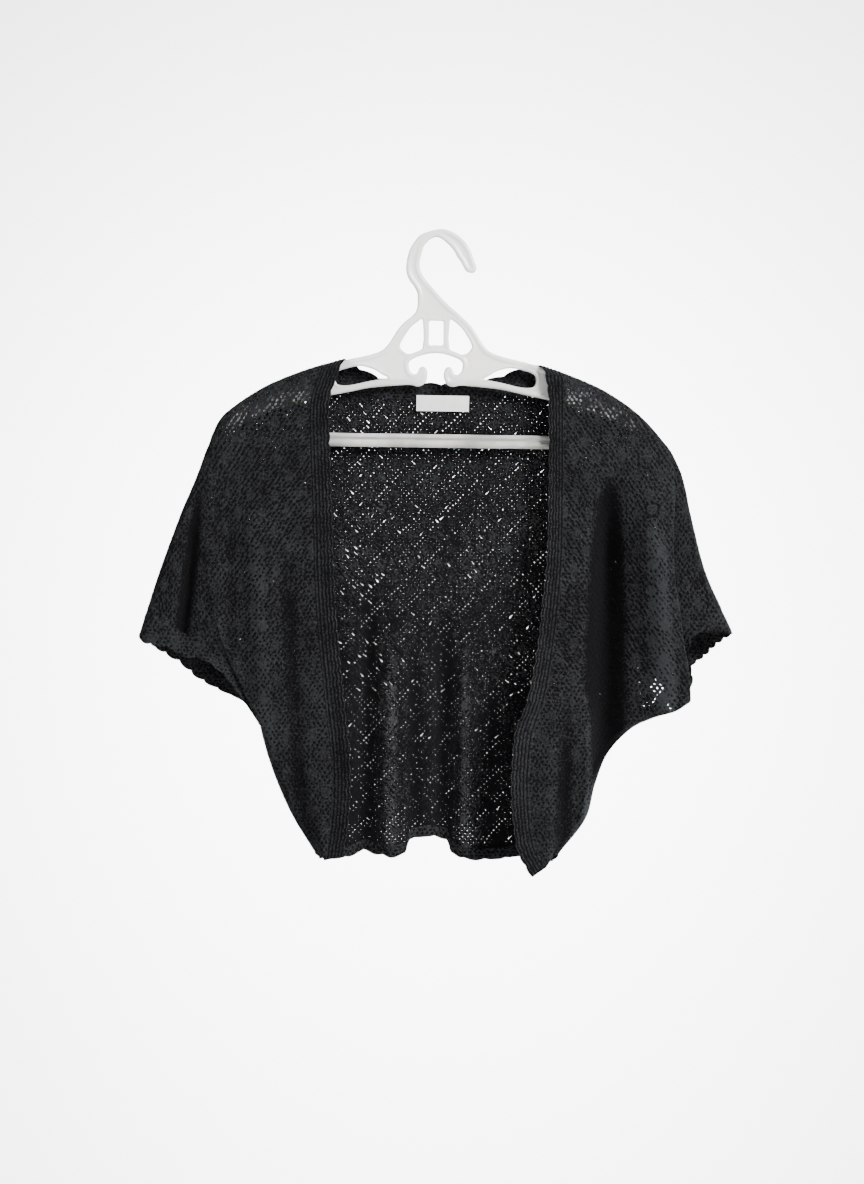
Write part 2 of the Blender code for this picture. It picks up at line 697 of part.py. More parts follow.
def strip(marks, chain, inner_chain, edge_at, least=SEAM):
    """Pairs of points across a strip: beside the seam of the piece that carries it, and its edge."""
    pairs = []
    for t in marks:
        place = place_on(chain, t)
        seam, inner, edge = point_at(chain, place), point_at(inner_chain, place), edge_at(t, place)
        run = (point_at(chain, place_on(chain, t + RUN_STEP))
               - point_at(chain, place_on(chain, t - RUN_STEP))).normalized()
        pairs.append([seam_point(seam, inner, edge, run, least), edge])
    return pairs


def scallop(t, waves):
    """A row of round waves: 0 in the notches and 1 at the crests."""
    return abs(math.sin(math.pi * waves * t)) ** SCALLOP_ROUND


def strip_marks(waves, chain):
    """Places along a scalloped strip: its seam's own points, and even steps along the waves."""
    steps = waves * SCALLOP_STEPS
    own = marks_of(chain)
    even = [k / steps for k in range(steps + 1)]
    return sorted(own + [t for t in even if min(abs(t - mark) for mark in own) > LEAST_STEP / steps])


def front_band(side, panel):
    """A front band: its seam on the panel's edge and its scalloped edge at the opening."""
    chain, inner_chain = [row[0] for row in panel], [row[1] for row in panel]
    down = [row[6] for row in outer_line(side)]
    neck = shoulder_at(side, NECK_POINT[side])
    turned_row = len(SHOULDER_TURN) - 1
    first = neck + neck_run(side, chain[turned_row].z - chain[0].z)
    opening, _ = spline([tuple(first) + (0.0,)] + [row[2:] for row in BAND[side]])

    def edge_at(t, place):
        seam = point_at(chain, place)
        if place[0] < turned_row:
            x, z = neck + neck_run(side, seam.z - chain[0].z)
            forward = 0.0
        else:
            b = mix(down[place[0]], down[place[0] + 1], place[1])
            x, z, forward = opening((b - down[turned_row]) / (1 - down[turned_row]))
        turned = min(1.0, -(seam.y + HALF_SEAM) / layer(seam.z, "front_open"))
        edge = Vector((x, -HALF_SEAM - (layer(z, "front_open") + forward) * turned, z))
        reach = FRONT_BAND_REACH * (scallop(t, FRONT_BAND_WAVES) - 1) * turned
        return edge + (edge - seam).normalized() * reach

    return strip(strip_marks(FRONT_BAND_WAVES, chain), chain, inner_chain, edge_at)


def neck_band(panel):
    """The back neck band: its seam on the back's upper edge and its scalloped upper edge."""
    first = len(SIDE_TURN) + SHOULDER_STEPS
    chain, inner_chain = panel[0][first:-first], panel[len(SHOULDER_TURN)][first:-first]
    ends = [tuple(shoulder_at(side, NECK_POINT[side])) for side in ("right", "left")]
    upper, length = spline([ends[0]] + list(NECK_EDGE) + [ends[1]])
    marks = neck_marks(length, len(chain) - 1)

    def edge_at(t, place):
        x, z = upper(mix(marks[place[0]], marks[place[0] + 1], place[1]))
        turned = shoulder_drop(x, z)
        edge = Vector((x, HALF_SEAM + layer(z, "back_middle") * turned, z))
        reach = NECK_BAND_REACH * (scallop(t, NECK_BAND_WAVES) - 1) * turned
        return edge + (edge - point_at(chain, place)).normalized() * reach

    return strip(strip_marks(NECK_BAND_WAVES, chain), chain, inner_chain, edge_at)


def hem_band(panel):
    """The scalloped edging under the back."""
    chain, inner_chain = panel[-1], panel[-2]

    def edge_at(t, place):
        seam = point_at(chain, place)
        down = Vector((0.0, 0.0, -1.0)) + (seam - point_at(inner_chain, place)).normalized() * HEM_FLOW
        width = mix(HEM_END_WIDTH, HEM_BAND_WIDTH, smooth(min(t, 1 - t) / HEM_END))
        return seam + down.normalized() * (width + HEM_REACH * (scallop(t, HEM_WAVES) - 1))

    return strip(strip_marks(HEM_WAVES, chain), chain, inner_chain, edge_at, HEM_GAP)


def half_rings(ring):
    """The front and the back half of a ring, both from its top fold to the underarm."""
    half = ARMHOLE_ROWS - 1
    return ring[:half + 1], [ring[0]] + ring[:half - 1:-1]


def cuff_rings(side, sleeve):
    """A cuff: its seam on the sleeve's last ring and its scalloped free edge."""
    waves = CUFF_WAVES // 2
    lines = {}
    for face, chain, inner_chain in zip(("front", "back"), half_rings(sleeve[-1]), half_rings(sleeve[-2])):
        line, length = spline(CUFF_EDGE[side][face])
        seam_line, edge_line = [], []
        for t in strip_marks(waves, chain):
            near = min(min(t, 1 - t) * length / TURN, 1.0)
            depth = CUFF_EDGE_DEPTH[side] * math.sqrt(1 - (1 - near) ** 2)
            x, z = line(t)
            edge = Vector((x, -depth if face == "front" else depth, z))
            place = place_on(chain, t)
            seam = point_at(chain, place)
            way = (edge - seam).normalized()
            edge += way * (CUFF_REACH * (scallop(t, waves) - 1))
            run = (point_at(chain, place_on(chain, t + RUN_STEP))
                   - point_at(chain, place_on(chain, t - RUN_STEP))).normalized()
            if t in (0.0, 1.0):
                run = Vector((0.0, 1.0, 0.0))
            seam_line.append(seam_point(seam, point_at(inner_chain, place), edge, run, CUFF_GAP))
            edge_line.append(edge)
        lines[face] = (seam_line, edge_line)
    return [lines["front"][k] + lines["back"][k][-2:0:-1] for k in range(2)]


def sheet(name, grid, made, group, closed=False, thickness=WALL):
    """A sheet through a grid of points, thickened to both sides; closed joins its columns."""
    rows, columns = len(grid), len(grid[0])
    mesh = bpy.data.meshes.new(name)
    body = bmesh.new()
    steps = columns if closed else columns - 1
    bmesh.ops.create_grid(body, x_segments=steps, y_segments=rows - 1, size=1.0)
    for vertex in body.verts:
        i = round((vertex.co.x + 1) / 2 * steps)
        j = round((vertex.co.y + 1) / 2 * (rows - 1))
        vertex.co = grid[j][i % columns] * MM
    if closed:
        bmesh.ops.remove_doubles(body, verts=body.verts, dist=1e-7)
    body.to_mesh(mesh)
    body.free()
    mesh.shade_smooth()
    mesh.materials.append(made)
    thing = bpy.data.objects.new(name, mesh)
    group.objects.link(thing)
    wall = thing.modifiers.new("Wall", "SOLIDIFY")
    wall.thickness = thickness * MM
    wall.offset = 0.0
    return thing


def label(group):
    """A plain woven label, sewn on the inside of the back over the neck seam."""
    grid = []
    for v in (-0.5, 0.5):
        row = []
        for k in range(LABEL_STEPS + 1):
            across, up = (k / LABEL_STEPS - 0.5) * LABEL_WIDTH, v * LABEL_HEIGHT
            x = LABEL_X + across * math.cos(LABEL_TILT) - up * math.sin(LABEL_TILT)
            z = LABEL_Z + across * math.sin(LABEL_TILT) + up * math.cos(LABEL_TILT)
            cloth = HALF_SEAM + layer(z, "back_middle")
            row.append(Vector((x, cloth - WALL / 2 - SEAM * 2 - LABEL_THICK / 2, z)))
        grid.append(row)
    sheet("label", grid, material("label_white", (0.8, 0.8, 0.78), 0.7), group, thickness=LABEL_THICK)


def flat_piece(name, loops, thickness, group, edge_round=0.0):
    """A moulded plate: its outline and windows in the hanger's plane, standing upright."""
    curve = bpy.data.curves.new(name, "CURVE")
    curve.dimensions = "2D"
    curve.fill_mode = "BOTH"
    curve.extrude = thickness / 2 * MM
    for loop in loops:
        line = curve.splines.new("POLY")
        line.points.add(len(loop) - 1)
        for point, (x, z) in zip(line.points, loop):
            point.co = (x * MM, z * MM, 0.0, 1.0)
        line.use_cyclic_u = True
    outline = bpy.data.objects.new(name + "_outline", curve)
    group.objects.link(outline)
    outline.rotation_euler = (math.pi / 2, HANGER_ROLL, 0.0)
    bpy.context.view_layer.update()
    shown = outline.evaluated_get(bpy.context.evaluated_depsgraph_get())
    mesh = bpy.data.meshes.new_from_object(shown)
    mesh.name = name
    body = bmesh.new()
    body.from_mesh(mesh)
    bmesh.ops.remove_doubles(body, verts=body.verts, dist=1e-6)
    body.to_mesh(mesh)
    body.free()
    mesh.materials.clear()
    mesh.materials.append(plastic(name))
    thing = bpy.data.objects.new(name, mesh)
    thing.matrix_world = outline.matrix_world
    group.objects.link(thing)
    bpy.data.objects.remove(outline)
    if edge_round:
        edge = thing.modifiers.new("Round edges", "BEVEL")
        edge.width = edge_round * MM
        edge.segments = 2
        edge.limit_method = "ANGLE"
        edge.angle_limit = math.radians(60)
    return thing


def mirrored(loop):
    return [(-x, z) for x, z in reversed(loop)]


def hanger(group):
    """A hanger in five plates that meet with the seam gap: hook, middle, two arms and bar."""
    flat_piece("hanger_hook", [HOOK], HOOK_THICK, group)
    middle = list(CENTRE) + mirrored(CENTRE)[1:-1]
    windows = [MIDDLE_WINDOW, SIDE_WINDOW, mirrored(SIDE_WINDOW)]
    flat_piece("hanger_middle", [middle] + windows, CENTRE_THICK, group)
    line = [Vector(row) for row in SHOULDER]
    upper = []
    for before, place, after in zip([line[0]] + line, line, line[1:]):
        run = (after - before).normalized()
        upper.append(tuple(place + Vector((run.y, -run.x)) * ARM_CLEARANCE))
    arm = list(ARM_INNER) + upper + list(ARM_OUTER)
    flat_piece("hanger_arm_left", [arm, ARM_WINDOW], ARM_THICK, group, EDGE_ROUND)
    flat_piece("hanger_arm_right", [mirrored(arm), mirrored(ARM_WINDOW)], ARM_THICK, group, EDGE_ROUND)
    foot = BAR_TOP - BAR_DEPTH
    bar = [(-BAR_HALF_LENGTH, BAR_TOP), (BAR_HALF_LENGTH, BAR_TOP),
           (BAR_HALF_LENGTH, foot), (-BAR_HALF_LENGTH, foot)]
    flat_piece("hanger_bar", [bar], BAR_THICK, group, EDGE_ROUND)


def garment(group):
    back = back_panel()
    sheet("back", back, knit("back"), group)
    sheet("band_neck", neck_band(back), knit("band_neck"), group)
    sheet("band_hem", hem_band(back), knit("band_hem"), group)
    for side in ("right", "left"):
        panel = front_panel(side)
        sheet("front_" + side, panel, knit("front_" + side), group)
        sheet("band_" + side, front_band(side, panel), knit("band_" + side), group)
        sleeve = sleeve_rings(side)
        sheet("sleeve_" + side, sleeve, knit("sleeve_" + side), group, closed=True)
        sheet("cuff_" + side, cuff_rings(side, sleeve), knit("cuff_" + side), group, closed=True)
    label(group)


def main():
    for thing in list(bpy.data.objects):
        bpy.data.objects.remove(thing)
    group = collection("bolero_on_hanger")
    garment(group)
    hanger(group)


main()
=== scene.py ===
"""Looks of the openwork knit bolero on its moulded plastic hanger.

The cloth's tables and lines repeat those of the part's source, in millimetres, because this
script reads only the frame. Here they have finer steps and more folds, and the pieces meet
without the gaps that the solids need. Each cloth piece becomes one thin sheet with its eyelets
cut out and its yarns raised, in metres.
"""
import math
from types import SimpleNamespace

import bpy
import numpy as np
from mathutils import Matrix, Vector


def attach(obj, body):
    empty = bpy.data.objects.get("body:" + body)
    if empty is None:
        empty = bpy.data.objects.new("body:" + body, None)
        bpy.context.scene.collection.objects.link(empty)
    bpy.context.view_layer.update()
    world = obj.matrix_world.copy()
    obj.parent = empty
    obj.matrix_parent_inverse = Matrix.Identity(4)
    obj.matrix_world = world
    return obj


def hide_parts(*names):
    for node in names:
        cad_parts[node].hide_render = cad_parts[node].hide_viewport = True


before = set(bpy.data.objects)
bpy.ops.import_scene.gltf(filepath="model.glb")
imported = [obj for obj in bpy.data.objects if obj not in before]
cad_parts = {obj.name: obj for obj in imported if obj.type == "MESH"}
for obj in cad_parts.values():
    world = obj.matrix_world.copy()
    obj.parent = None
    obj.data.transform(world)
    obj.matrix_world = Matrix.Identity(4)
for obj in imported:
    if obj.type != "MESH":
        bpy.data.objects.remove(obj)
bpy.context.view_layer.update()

MM = 0.001
# Lengths too short to tell apart, in mm, and the least length of a normal
NEAR, TINY = 1e-6, 1e-12

# The photograph's size and scale, the pixel of the hook's inside, and the camera and stage
PHOTO_WIDTH, PHOTO_HEIGHT, PHOTO_PIXEL = 864, 1184, 0.95 * MM
HOOK_X, HOOK_Y = 437.5, 237.0
SENSOR = 36.0
CAMERA_DISTANCE, CAMERA_REACH = 2.2, 60.0
CAMERA_X = (PHOTO_WIDTH / 2 - HOOK_X) * PHOTO_PIXEL
CAMERA_Z = (HOOK_Y - PHOTO_HEIGHT / 2) * PHOTO_PIXEL
CAMERA_LENS = SENSOR * CAMERA_DISTANCE / (PHOTO_HEIGHT * PHOTO_PIXEL)
FLOOR_Z, WALL_Y, STAGE_SIZE = -1.8, 3.4, 24.0
STAGE_FINISH = {"Base Color": (0.86, 0.86, 0.86, 1.0), "Roughness": 0.9}
WORLD_COLOR, WORLD_STRENGTH = (0.93, 0.94, 0.96, 1.0), 0.42
# Soft square lights: name, place, what they face, side in metres, power in watts
LIGHTS = (
    ("key", (2.3, -2.2, 1.5), (0.0, 0.0, -0.3), 1.1, 430.0),
    ("fill", (-2.2, -2.2, 0.1), (0.0, 0.0, -0.35), 1.8, 22.0),
    ("wall_light", (0.0, 1.5, -0.35), (0.0, WALL_Y, -0.35), 1.2, 380.0),
)

# Looks: values of the shader's sockets, then the stops of the colour's ramp, the scales of its
# noises, the shares of what tones or shades it, and its relief in metres
KNIT_FINISH = {"Roughness": 0.8, "Specular IOR Level": 0.06, "Sheen Weight": 0.025,
               "Sheen Roughness": 0.45, "Sheen Tint": (0.75, 0.78, 0.85, 1.0)}
KNIT_RAMP = ((0.36, (0.0016, 0.0016, 0.0019)), (0.66, (0.0225, 0.0245, 0.026)))
KNIT_GRAIN, KNIT_DYE, GRAIN_SHARE, DYE_SHARE = 600.0, 35.0, 0.75, 0.25
PIT_SHADE, HOLLOW_SHADE, STITCH_SHARE, KNIT_RELIEF = 0.6, 0.45, 0.35, 0.0006
STITCH_WIDTH, STITCH_HEIGHT, TWILL_PITCH = 0.0014, 0.0012, 0.0007
PLASTIC_FINISH = {"Roughness": 0.3, "Subsurface Weight": 0.25, "Transmission Weight": 0.4,
                  "Subsurface Radius": (1.0, 0.9, 0.7), "Subsurface Scale": 0.004,
                  "Coat Weight": 0.15, "Coat Roughness": 0.2}
PLASTIC_RAMP = ((0.0, (0.42, 0.42, 0.4)), (0.3, (0.89, 0.88, 0.84)), (0.7, (0.95, 0.945, 0.915)))
PLASTIC_FLOW, PLASTIC_GRAIN, PLASTIC_RELIEF, PLASTIC_BUMP = 28.0, 240.0, 0.0003, 0.25
LABEL_FINISH = {"Roughness": 0.6, "Sheen Weight": 0.2}
LABEL_RAMP = ((0.3, (0.70, 0.69, 0.67)), (0.7, (0.80, 0.79, 0.77)))
LABEL_TONE, LABEL_DETAIL, LABEL_RELIEF, LABEL_BUMP = 120.0, 2.0, 0.0002, 0.5

# The cloth, in mm: radius of the turn at shoulders and underarms, width of the turn at the sides
TURN, SIDE_WIDTH = 9.0, 8.0
# Steps of the construction grids: angles where the cloth turns over, and spans between
SHOULDER_TURN = tuple(range(0, 91, 10))
UNDERARM_TURN = (90, 75, 60, 45, 30, 15, 0)
SIDE_TURN = (12, 24, 36, 48, 60, 70, 80, 90)
NECK_TURN = (8, 20, 35, 50, 65, 80, 90)
ARMHOLE_STEPS, SIDE_STEPS, FRONT_STEPS, SHOULDER_STEPS, SLEEVE_STEPS = 36, 28, 36, 16, 28
ARMHOLE_ROWS = len(SHOULDER_TURN) + ARMHOLE_STEPS - 1 + len(UNDERARM_TURN)
# A short line turns over within a fifth of its length, and a level is found by halving
SHORT_LINE_PARTS, HALVINGS = 5, 20
# How the panels run out to their seams: lengths, and shares of a panel or of a seam
BEND_LENGTH, LAP, SHOULDER_DEPTH, FULL_OVERHANG = 60.0, 2.5, 8.0, 4.0
FLAT_SHARE, NARROW_SHARE, TOP_LINE_REACH, SLEEVE_FOLD_RISE = 0.35, 0.3, 0.6, 1.6

# Scalloped edges: how many waves, how far they reach, and steps in each wave
SCALLOP_STEPS, SCALLOP_ROUND, LEAST_STEP = 10, 0.7, 0.3
FRONT_BAND_WAVES, FRONT_BAND_REACH = 38, 1.5
NECK_BAND_WAVES, NECK_BAND_REACH = 10, 2.5
CUFF_WAVES, CUFF_REACH = 16, 2.6
HEM_WAVES, HEM_REACH, HEM_BAND_WIDTH = 14, 2.0, 10.0
HEM_END, HEM_END_WIDTH, HEM_FLOW = 0.07, 4.0, 0.3

HANGER_ROLL = math.radians(0.8)
BAR_TOP, BAR_DEPTH, BAR_HALF_LENGTH = -187.4, 12.8, 190.0

# Middle of the cloth over the hanger's arms: across, up
ARM_CLEARANCE = 2.1
SHOULDER = (
    (84, -116), (106, -122.3), (125, -128.6), (146, -136.9), (163, -145.1), (186, -160),
    (203, -175),
)
SHOULDER_END = {"right": (-215, -191), "left": (217.5, -198)}
NECK_POINT = {"right": 86, "left": 99}
BAND_WIDTH = 18.5
SHOULDER_SLOPE = 0.28
NECK_LEAN = 0.45

# Depth of the cloth in front of and behind the hanger's middle, by level
LAYER_COLUMNS = ("level", "front_open", "front_side", "back_middle", "back_side")
LAYERS = (
    (-110, 8.5, 8.5, 8.5, 8.5),
    (-160, 9.5, 9, 9.5, 9),
    (-200, 11, 10, 11, 9.5),
    (-300, 14, 12, 14, 11),
    (-400, 16, 13, 16, 12),
    (-500, 18, 13, 17, 12),
    (-610, 19, 12, 18, 11),
)

# Armholes and side seams: x, z, overhang of the fold beyond the seam, depth of the front
# panel's outer edge, depth of the front layer at the seam
ARMHOLE = {
    "right": (
        (-217, -225, 0, 10, 10),
        (-219, -265, 0, 11, 11),
        (-219, -305, 0, 12, 12),
        (-214, -345, 0, 12, 12),
        (-202, -388, 0, 12, 12),
        (-186, -426, 0, 12, 12),
        (-168.5, -464, 0, 12, 12),
    ),
    "left": (
        (223, -218, 1, 11, 9),
        (223, -245, 5, 17, 10),
        (217.5, -285, 10, 25, 11),
        (218, -320, 10, 29, 12),
        (223, -355, 10, 30, 12),
        (226, -385, 11, 30, 12),
        (232, -412, 10, 28, 12),
        (237, -440, 6, 24, 12),
    ),
}
SIDE = {
    "right": (
        (-166, -475, 0, 12, 0),
        (-160, -496, 0, 12, 0),
        (-150, -523, 0, 12, 0),
        (-137, -551, 0, 11, 0),
        (-117, -583, 0, 11, 0),
    ),
    "left": (
        (228, -449, 2, 21, 0),
        (205, -457, 0, 16, 0),
        (184, -467, 0, 13, 0),
        (162, -490, 0, 13, 0),
        (150, -519, 0, 13, 0),
        (141, -552, 0, 13, 0),
        (115, -586, 0, 12, 0),
    ),
}

# Front bands: seam x, seam z, opening x, opening z, how far the opening stands forward
BAND = {
    "right": (
        (-118.5, -155, -101.5, -155, 0),
        (-119, -193, -101.5, -193, 0),
        (-117, -250, -99.5, -250, 0),
        (-114, -345, -96, -345, 1),
        (-105.5, -440, -87.5, -440, 2),
        (-101, -478, -83.5, -478, 3),
        (-99, -516, -81.5, -516, 4),
        (-101, -554, -83.5, -554, 4),
        (-106, -590, -88.5, -586, 3),
    ),
    "left": (
        (119, -155, 104.5, -155, 0),
        (118.5, -250, 104.5, -250, 1),
        (117.5, -307, 102.5, -307, 3),
        (114.5, -345, 98.5, -345, 4),
        (109, -392, 93, -392, 6),
        (100.5, -440, 83.5, -440, 7),
        (90.5, -470, 72.5, -468, 8),
        (86.5, -500, 69.5, -497, 8),
        (86, -530, 68.5, -525, 8),
        (88, -560, 70.5, -554, 8),
        (93, -582, 75, -582, 7),
        (102, -597, 88, -606, 6),
    ),
}

# The back: its neck seam and neck edge between the shoulders, and its lower edge, as x, z
NECK_SEAM = (
    (-99, -133), (-86, -142.5), (-60, -150), (-30, -153.5), (0, -154.5), (30, -153.5), (60, -150),
    (90, -142.5), (106, -133),
)
NECK_EDGE = (
    (-80, -119.5), (-71, -124.5), (-51, -133), (-25, -136.5), (0, -137.5), (26, -136.5), (52, -133),
    (70, -127), (84, -121.5),
)
HEM = (
    (-117, -583), (-88, -582), (-69, -576), (-56, -579), (-44, -581.5), (-31, -579), (-26, -565),
    (-10, -562), (9, -565), (13, -577), (24, -582.5), (40, -584.5), (60, -583.5), (78, -580),
    (115, -586),
)
# Columns of the back between the neck's corners, by their span of the hem: from, to, steps
HEM_SPANS = ((-80, -31, 24), (-31, -26, 3), (-26, 9, 18), (9, 13, 3), (13, 78, 28))

# Folds: x and z at the top, x and z at the foot, half width at top and foot, and height, which
# is towards the viewer where it is positive
FOLDS = {
    "back": (
        (-64, -300, -73.5, -600, 11, 11, -9),
        (-45, -340, -45, -600, 9, 10, 4),
        (-21.5, -350, -21.5, -600, 8, 8, -4),
        (7, -335, 2.5, -600, 11, 11, -10),
        (24, -340, 26, -600, 10, 10, 4),
        (50, -400, 54, -600, 12, 12, -5),
    ),
    "front_right": (
        (-150, -230, -128, -560, 14, 10, -3),
        (-176, -215, -160, -480, 14, 12, 3),
        (-196, -230, -196, -400, 10, 12, -2.5),
    ),
    "front_left": (
        (162, -215, 157, -475, 10, 17, -14),
        (199, -235, 213, -440, 13, 14, 5),
        (144, -420, 142, -545, 7, 7, 6),
        (122, -440, 118, -580, 9, 9, -4),
    ),
    "sleeve_right": ((-223, -225, -248, -420, 6, 7, -7),),
    "sleeve_left": (),
}
FOLD_FADE, FOLD_REACH = 0.35, 1.35

# Sleeves: the top fold from the shoulder's end to the cuff's seam, then the cuff's seam and its
# free edge, each from the top fold to the underarm in front and behind, as x, z
SLEEVE_TOP = {
    "right": ((-220.5, -204), (-229, -227), (-245, -265), (-264.5, -318), (-278.5, -361)),
    "left": ((223, -207), (232, -228), (240.5, -266), (254, -318), (271.5, -358)),
}
CUFF_SEAM = {
    "right": {
        "front": ((-278.5, -361), (-262, -367), (-245, -374), (-226, -382),
                  (-209, -396), (-195, -414), (-184, -436), (-177, -451)),
        "back": ((-278.5, -361), (-262, -371), (-245, -384), (-227, -398),
                 (-210, -412), (-195, -425), (-184, -439), (-177, -451)),
    },
    "left": {
        "front": ((271.5, -358), (258, -357), (246, -357), (236, -361),
                  (231, -372), (230.5, -388), (234.5, -408), (238.5, -430)),
        "back": ((271.5, -358), (260, -364), (249, -375), (240, -388),
                 (235.5, -402), (236.5, -418), (238.5, -430)),
    },
}
CUFF_EDGE = {
    "right": {
        "front": ((-284.5, -380), (-273, -388), (-254, -390.5), (-242, -398),
                  (-221, -402), (-207, -411), (-195, -424), (-185, -438)),
        "back": ((-284.5, -380), (-262, -396), (-247, -405), (-232, -418),
                 (-213, -429), (-199, -435), (-185, -438)),
    },
    "left": {
        "front": ((281, -378), (268, -376), (255, -376), (244, -378),
                  (239, -386), (238, -396), (239.5, -408), (242, -424)),
        "back": ((281, -378), (265, -390), (256, -399), (248, -404.5),
                 (243, -409), (241, -415), (242, -424)),
    },
}
CUFF_SEAM_DEPTH = {"right": 11, "left": 13}
CUFF_EDGE_DEPTH = {"right": 13, "left": 16}

# The hook's outline, in order round it: x, z
HOOK = (
    (-17.5, -57), (-20.5, -48.5), (-26.5, -40), (-29, -30.5), (-27, -15.5),
    (-20.5, -3.5), (-14, 2.5), (0, 7), (9, 6.5), (18.5, 2), (26.5, -5),
    (32, -14.5), (34.5, -22), (37, -28), (36.5, -31.5), (33.5, -33.5), (29, -32.5),
    (26.5, -30), (23, -23.5), (19, -18), (16, -12.5), (9, -5), (1, 0),
    (-6, -1.5), (-12.5, -7.5), (-15, -15), (-17, -24.5), (-16, -32.5),
    (-11, -41), (-3, -50), (7, -61),
)
# The rest of the outline on one side: down the middle's side to the arm's upper edge, then from
# the arm's tip back along its foot, then a curl, from the foot round its bulb up into the arch
MIDDLE_SIDE = ((19.5, -72), (30.5, -82), (37, -90), (43.5, -100.5), (50, -108), (62, -113))
ARM_END = (
    (200.3, -177), (202.5, -184.5), (204.5, -190), (203.5, -198), (199, -202),
    (BAR_HALF_LENGTH, -203), (BAR_HALF_LENGTH, -186.5), (176, -177), (150, -165.5),
    (125, -158), (104, -152.5), (81, -147.8), (60, -143.4),
)
CURL = (
    (25.5, -140.5), (17, -142), (11, -139.5), (8.2, -133), (9, -126), (12.5, -123.6),
    (15.6, -125.8), (16.8, -129.6), (20, -131.2), (24, -129), (26, -123), (24, -117),
    (12.5, -112), (0, -110),
)
# The windows beside the middle, in the middle and in the arm
SIDE_WINDOW = (
    (12.5, -79), (17, -79.5), (25.5, -87), (34, -101), (33.5, -107), (26, -112),
    (12.5, -106.5),
)
MIDDLE_WINDOW = ((-7, -79), (7, -79), (7, -104), (0, -103.5), (-7, -104))
ARM_WINDOW = (
    (44.5, -133.6), (51, -130.6), (58, -126.3), (72, -123), (88, -126.5),
    (94.5, -130), (96, -135.5), (93, -142), (81, -142.4), (62, -138.2), (44.5, -135.2),
)
# The moulding: thickness of its plates, and how far in each bead lies, with its radius. A bar
# bead also has a height, and is measured from the bar's top or, for the lower one, its foot.
PLATE_THICK, BAR_THICK, BAR_SINK, LOOP_STEPS = 2.6, 2.4, 3, 3
OUTLINE_BEAD, WINDOW_BEAD = (2.1, 2.6), (-1.3, 2)
UPPER_BEAD, LOWER_BEAD = (2.3, 0.2, 2.5), (4, 0.8, 3.2)
VOXEL, SOFTEN_SHARE, SOFTEN_ROUNDS = 0.85, 0.5, 2
# Painted shade greys the bar between these margins round it, where the dark cloth behind shades it and shows
# through, and is darkest in its groove
BAR_ABOVE, BAR_BELOW, GROOVE_DROP, GROOVE_HALF, BAR_SHADE_SHARE = 1, 6, 4.6, 0.8, 0.4

# The label: its middle, tilt and size, how far it lies off the back, its bow and grid
LABEL_X, LABEL_Z, LABEL_TILT = 5, -157.5, math.radians(-1)
LABEL_WIDTH, LABEL_HEIGHT, LABEL_CLEAR = 50, 15, 1.7
LABEL_BOW, LABEL_RIPPLE, RIPPLE_TURN, LABEL_ROWS, LABEL_COLUMNS = 0.5, 0.4, 6, 17, 51

# Seeds of each piece's chances
SEEDS = {"back": 3, "band_neck": 11, "band_hem": 12, "front_right": 5, "front_left": 7, "band_right": 13,
         "band_left": 15, "sleeve_right": 25, "sleeve_left": 27, "cuff_right": 35, "cuff_left": 37}
# Cells of the fine grids, and the step along a strip
BACK_CELL, FRONT_CELL, SLEEVE_CELL, STRIP_CELL, STRIP_STEP = 1.38, 0.95, 0.95, 0.8, 1.05
# A net: the step of its eyelets across and up, the size of those on falling lines, their scatter
BACK_NET, FRONT_NET = (5.32, 2.7, 0.42, 0.9), (4.7, 3.5, 1.0, 1.6)
# Every fifth line has large eyelets. The radius and the pit of each vary by chance, from a least
# share up, and some are closed. The table of chances repeats after so many lines, and holds five
# for each eyelet.
DIAMOND, LARGE_EYELET, SMALL_EYELET = 5, 0.41, 0.23
LEAST_RADIUS, RADIUS_SPREAD, LEAST_PIT, PIT_SPREAD = 0.55, 0.65, 0.35, 0.65
CLOSED_SHARE, CLOSED_INSIDE, CHANCES, CHANCE_KINDS = 0.28, 0.25, 80, 5
# How far the lattice wanders, with the lengths of its slow waves sideways and up
WAVER, SIDE_WAVES, RISE_WAVES = 1.0, (17.0, 41.0, 29.0), (19.0, 37.0, 31.0)
# Eyelets shrink between two levels, to this share on the back and sleeves and on the fronts
FADE_TOP, FADE_FOOT, FADE, FRONT_FADE = -190.0, -400.0, 0.65, 0.9
# A cell is cut where it faces the front enough and shows at least this area, or, on a sleeve,
# where its sides are near enough to square
LEAST_FACING, LEAST_SQUARE, RIM_CELLS = 0.45, 0.55, 2
LEAST_AREA = {"front_right": 0.385, "front_left": 0.385, "back": 0.187}
# How far yarns stand up and where they start from an eyelet's middle, the pits of closed ones, and how far
# painted shade reaches round each eyelet and pit
YARN_HEIGHT, YARN_START, YARN_REACH, YARN_UNEVEN, LIFT_SEED = 0.4, 0.4, 1.0, 0.12, 100
PIT_DEPTH, PIT_REACH, SHADE_REACH, SHADE_EDGE = 0.6, 1.3, 0.85, 0.5
PLAIN_LIFT, STEEP_SHARE, STEEP_SPAN, SEAM_CELLS, SEAM_LAP = 0.9, 0.3, 0.3, 3.0, 1.4

# Looser patches of the net: from and to in x and z, reach, and the eyelets' radius there
PATCHES = {
    "front_right": ((-190, -176, -95, -137, 15, 1.6), (-185, -194, -95, -194, 8, 0.7)),
    "front_left": (
        (204, -428, 210, -438, 16, 1.25),
        (95, -137, 192, -177, 15, 1.6),
        (95, -194, 185, -194, 8, 0.7),
    ),
    "back": (
        (204, -428, 210, -438, 20, 1.6),
        (-42, -567, -42, -567, 9, 0.4),
        (28, -570, 28, -570, 10, 0.34),
    ),
}
PATCH_LEAST, PATCH_PARTS, PATCH_OPEN = 0.75, 3, 0.5
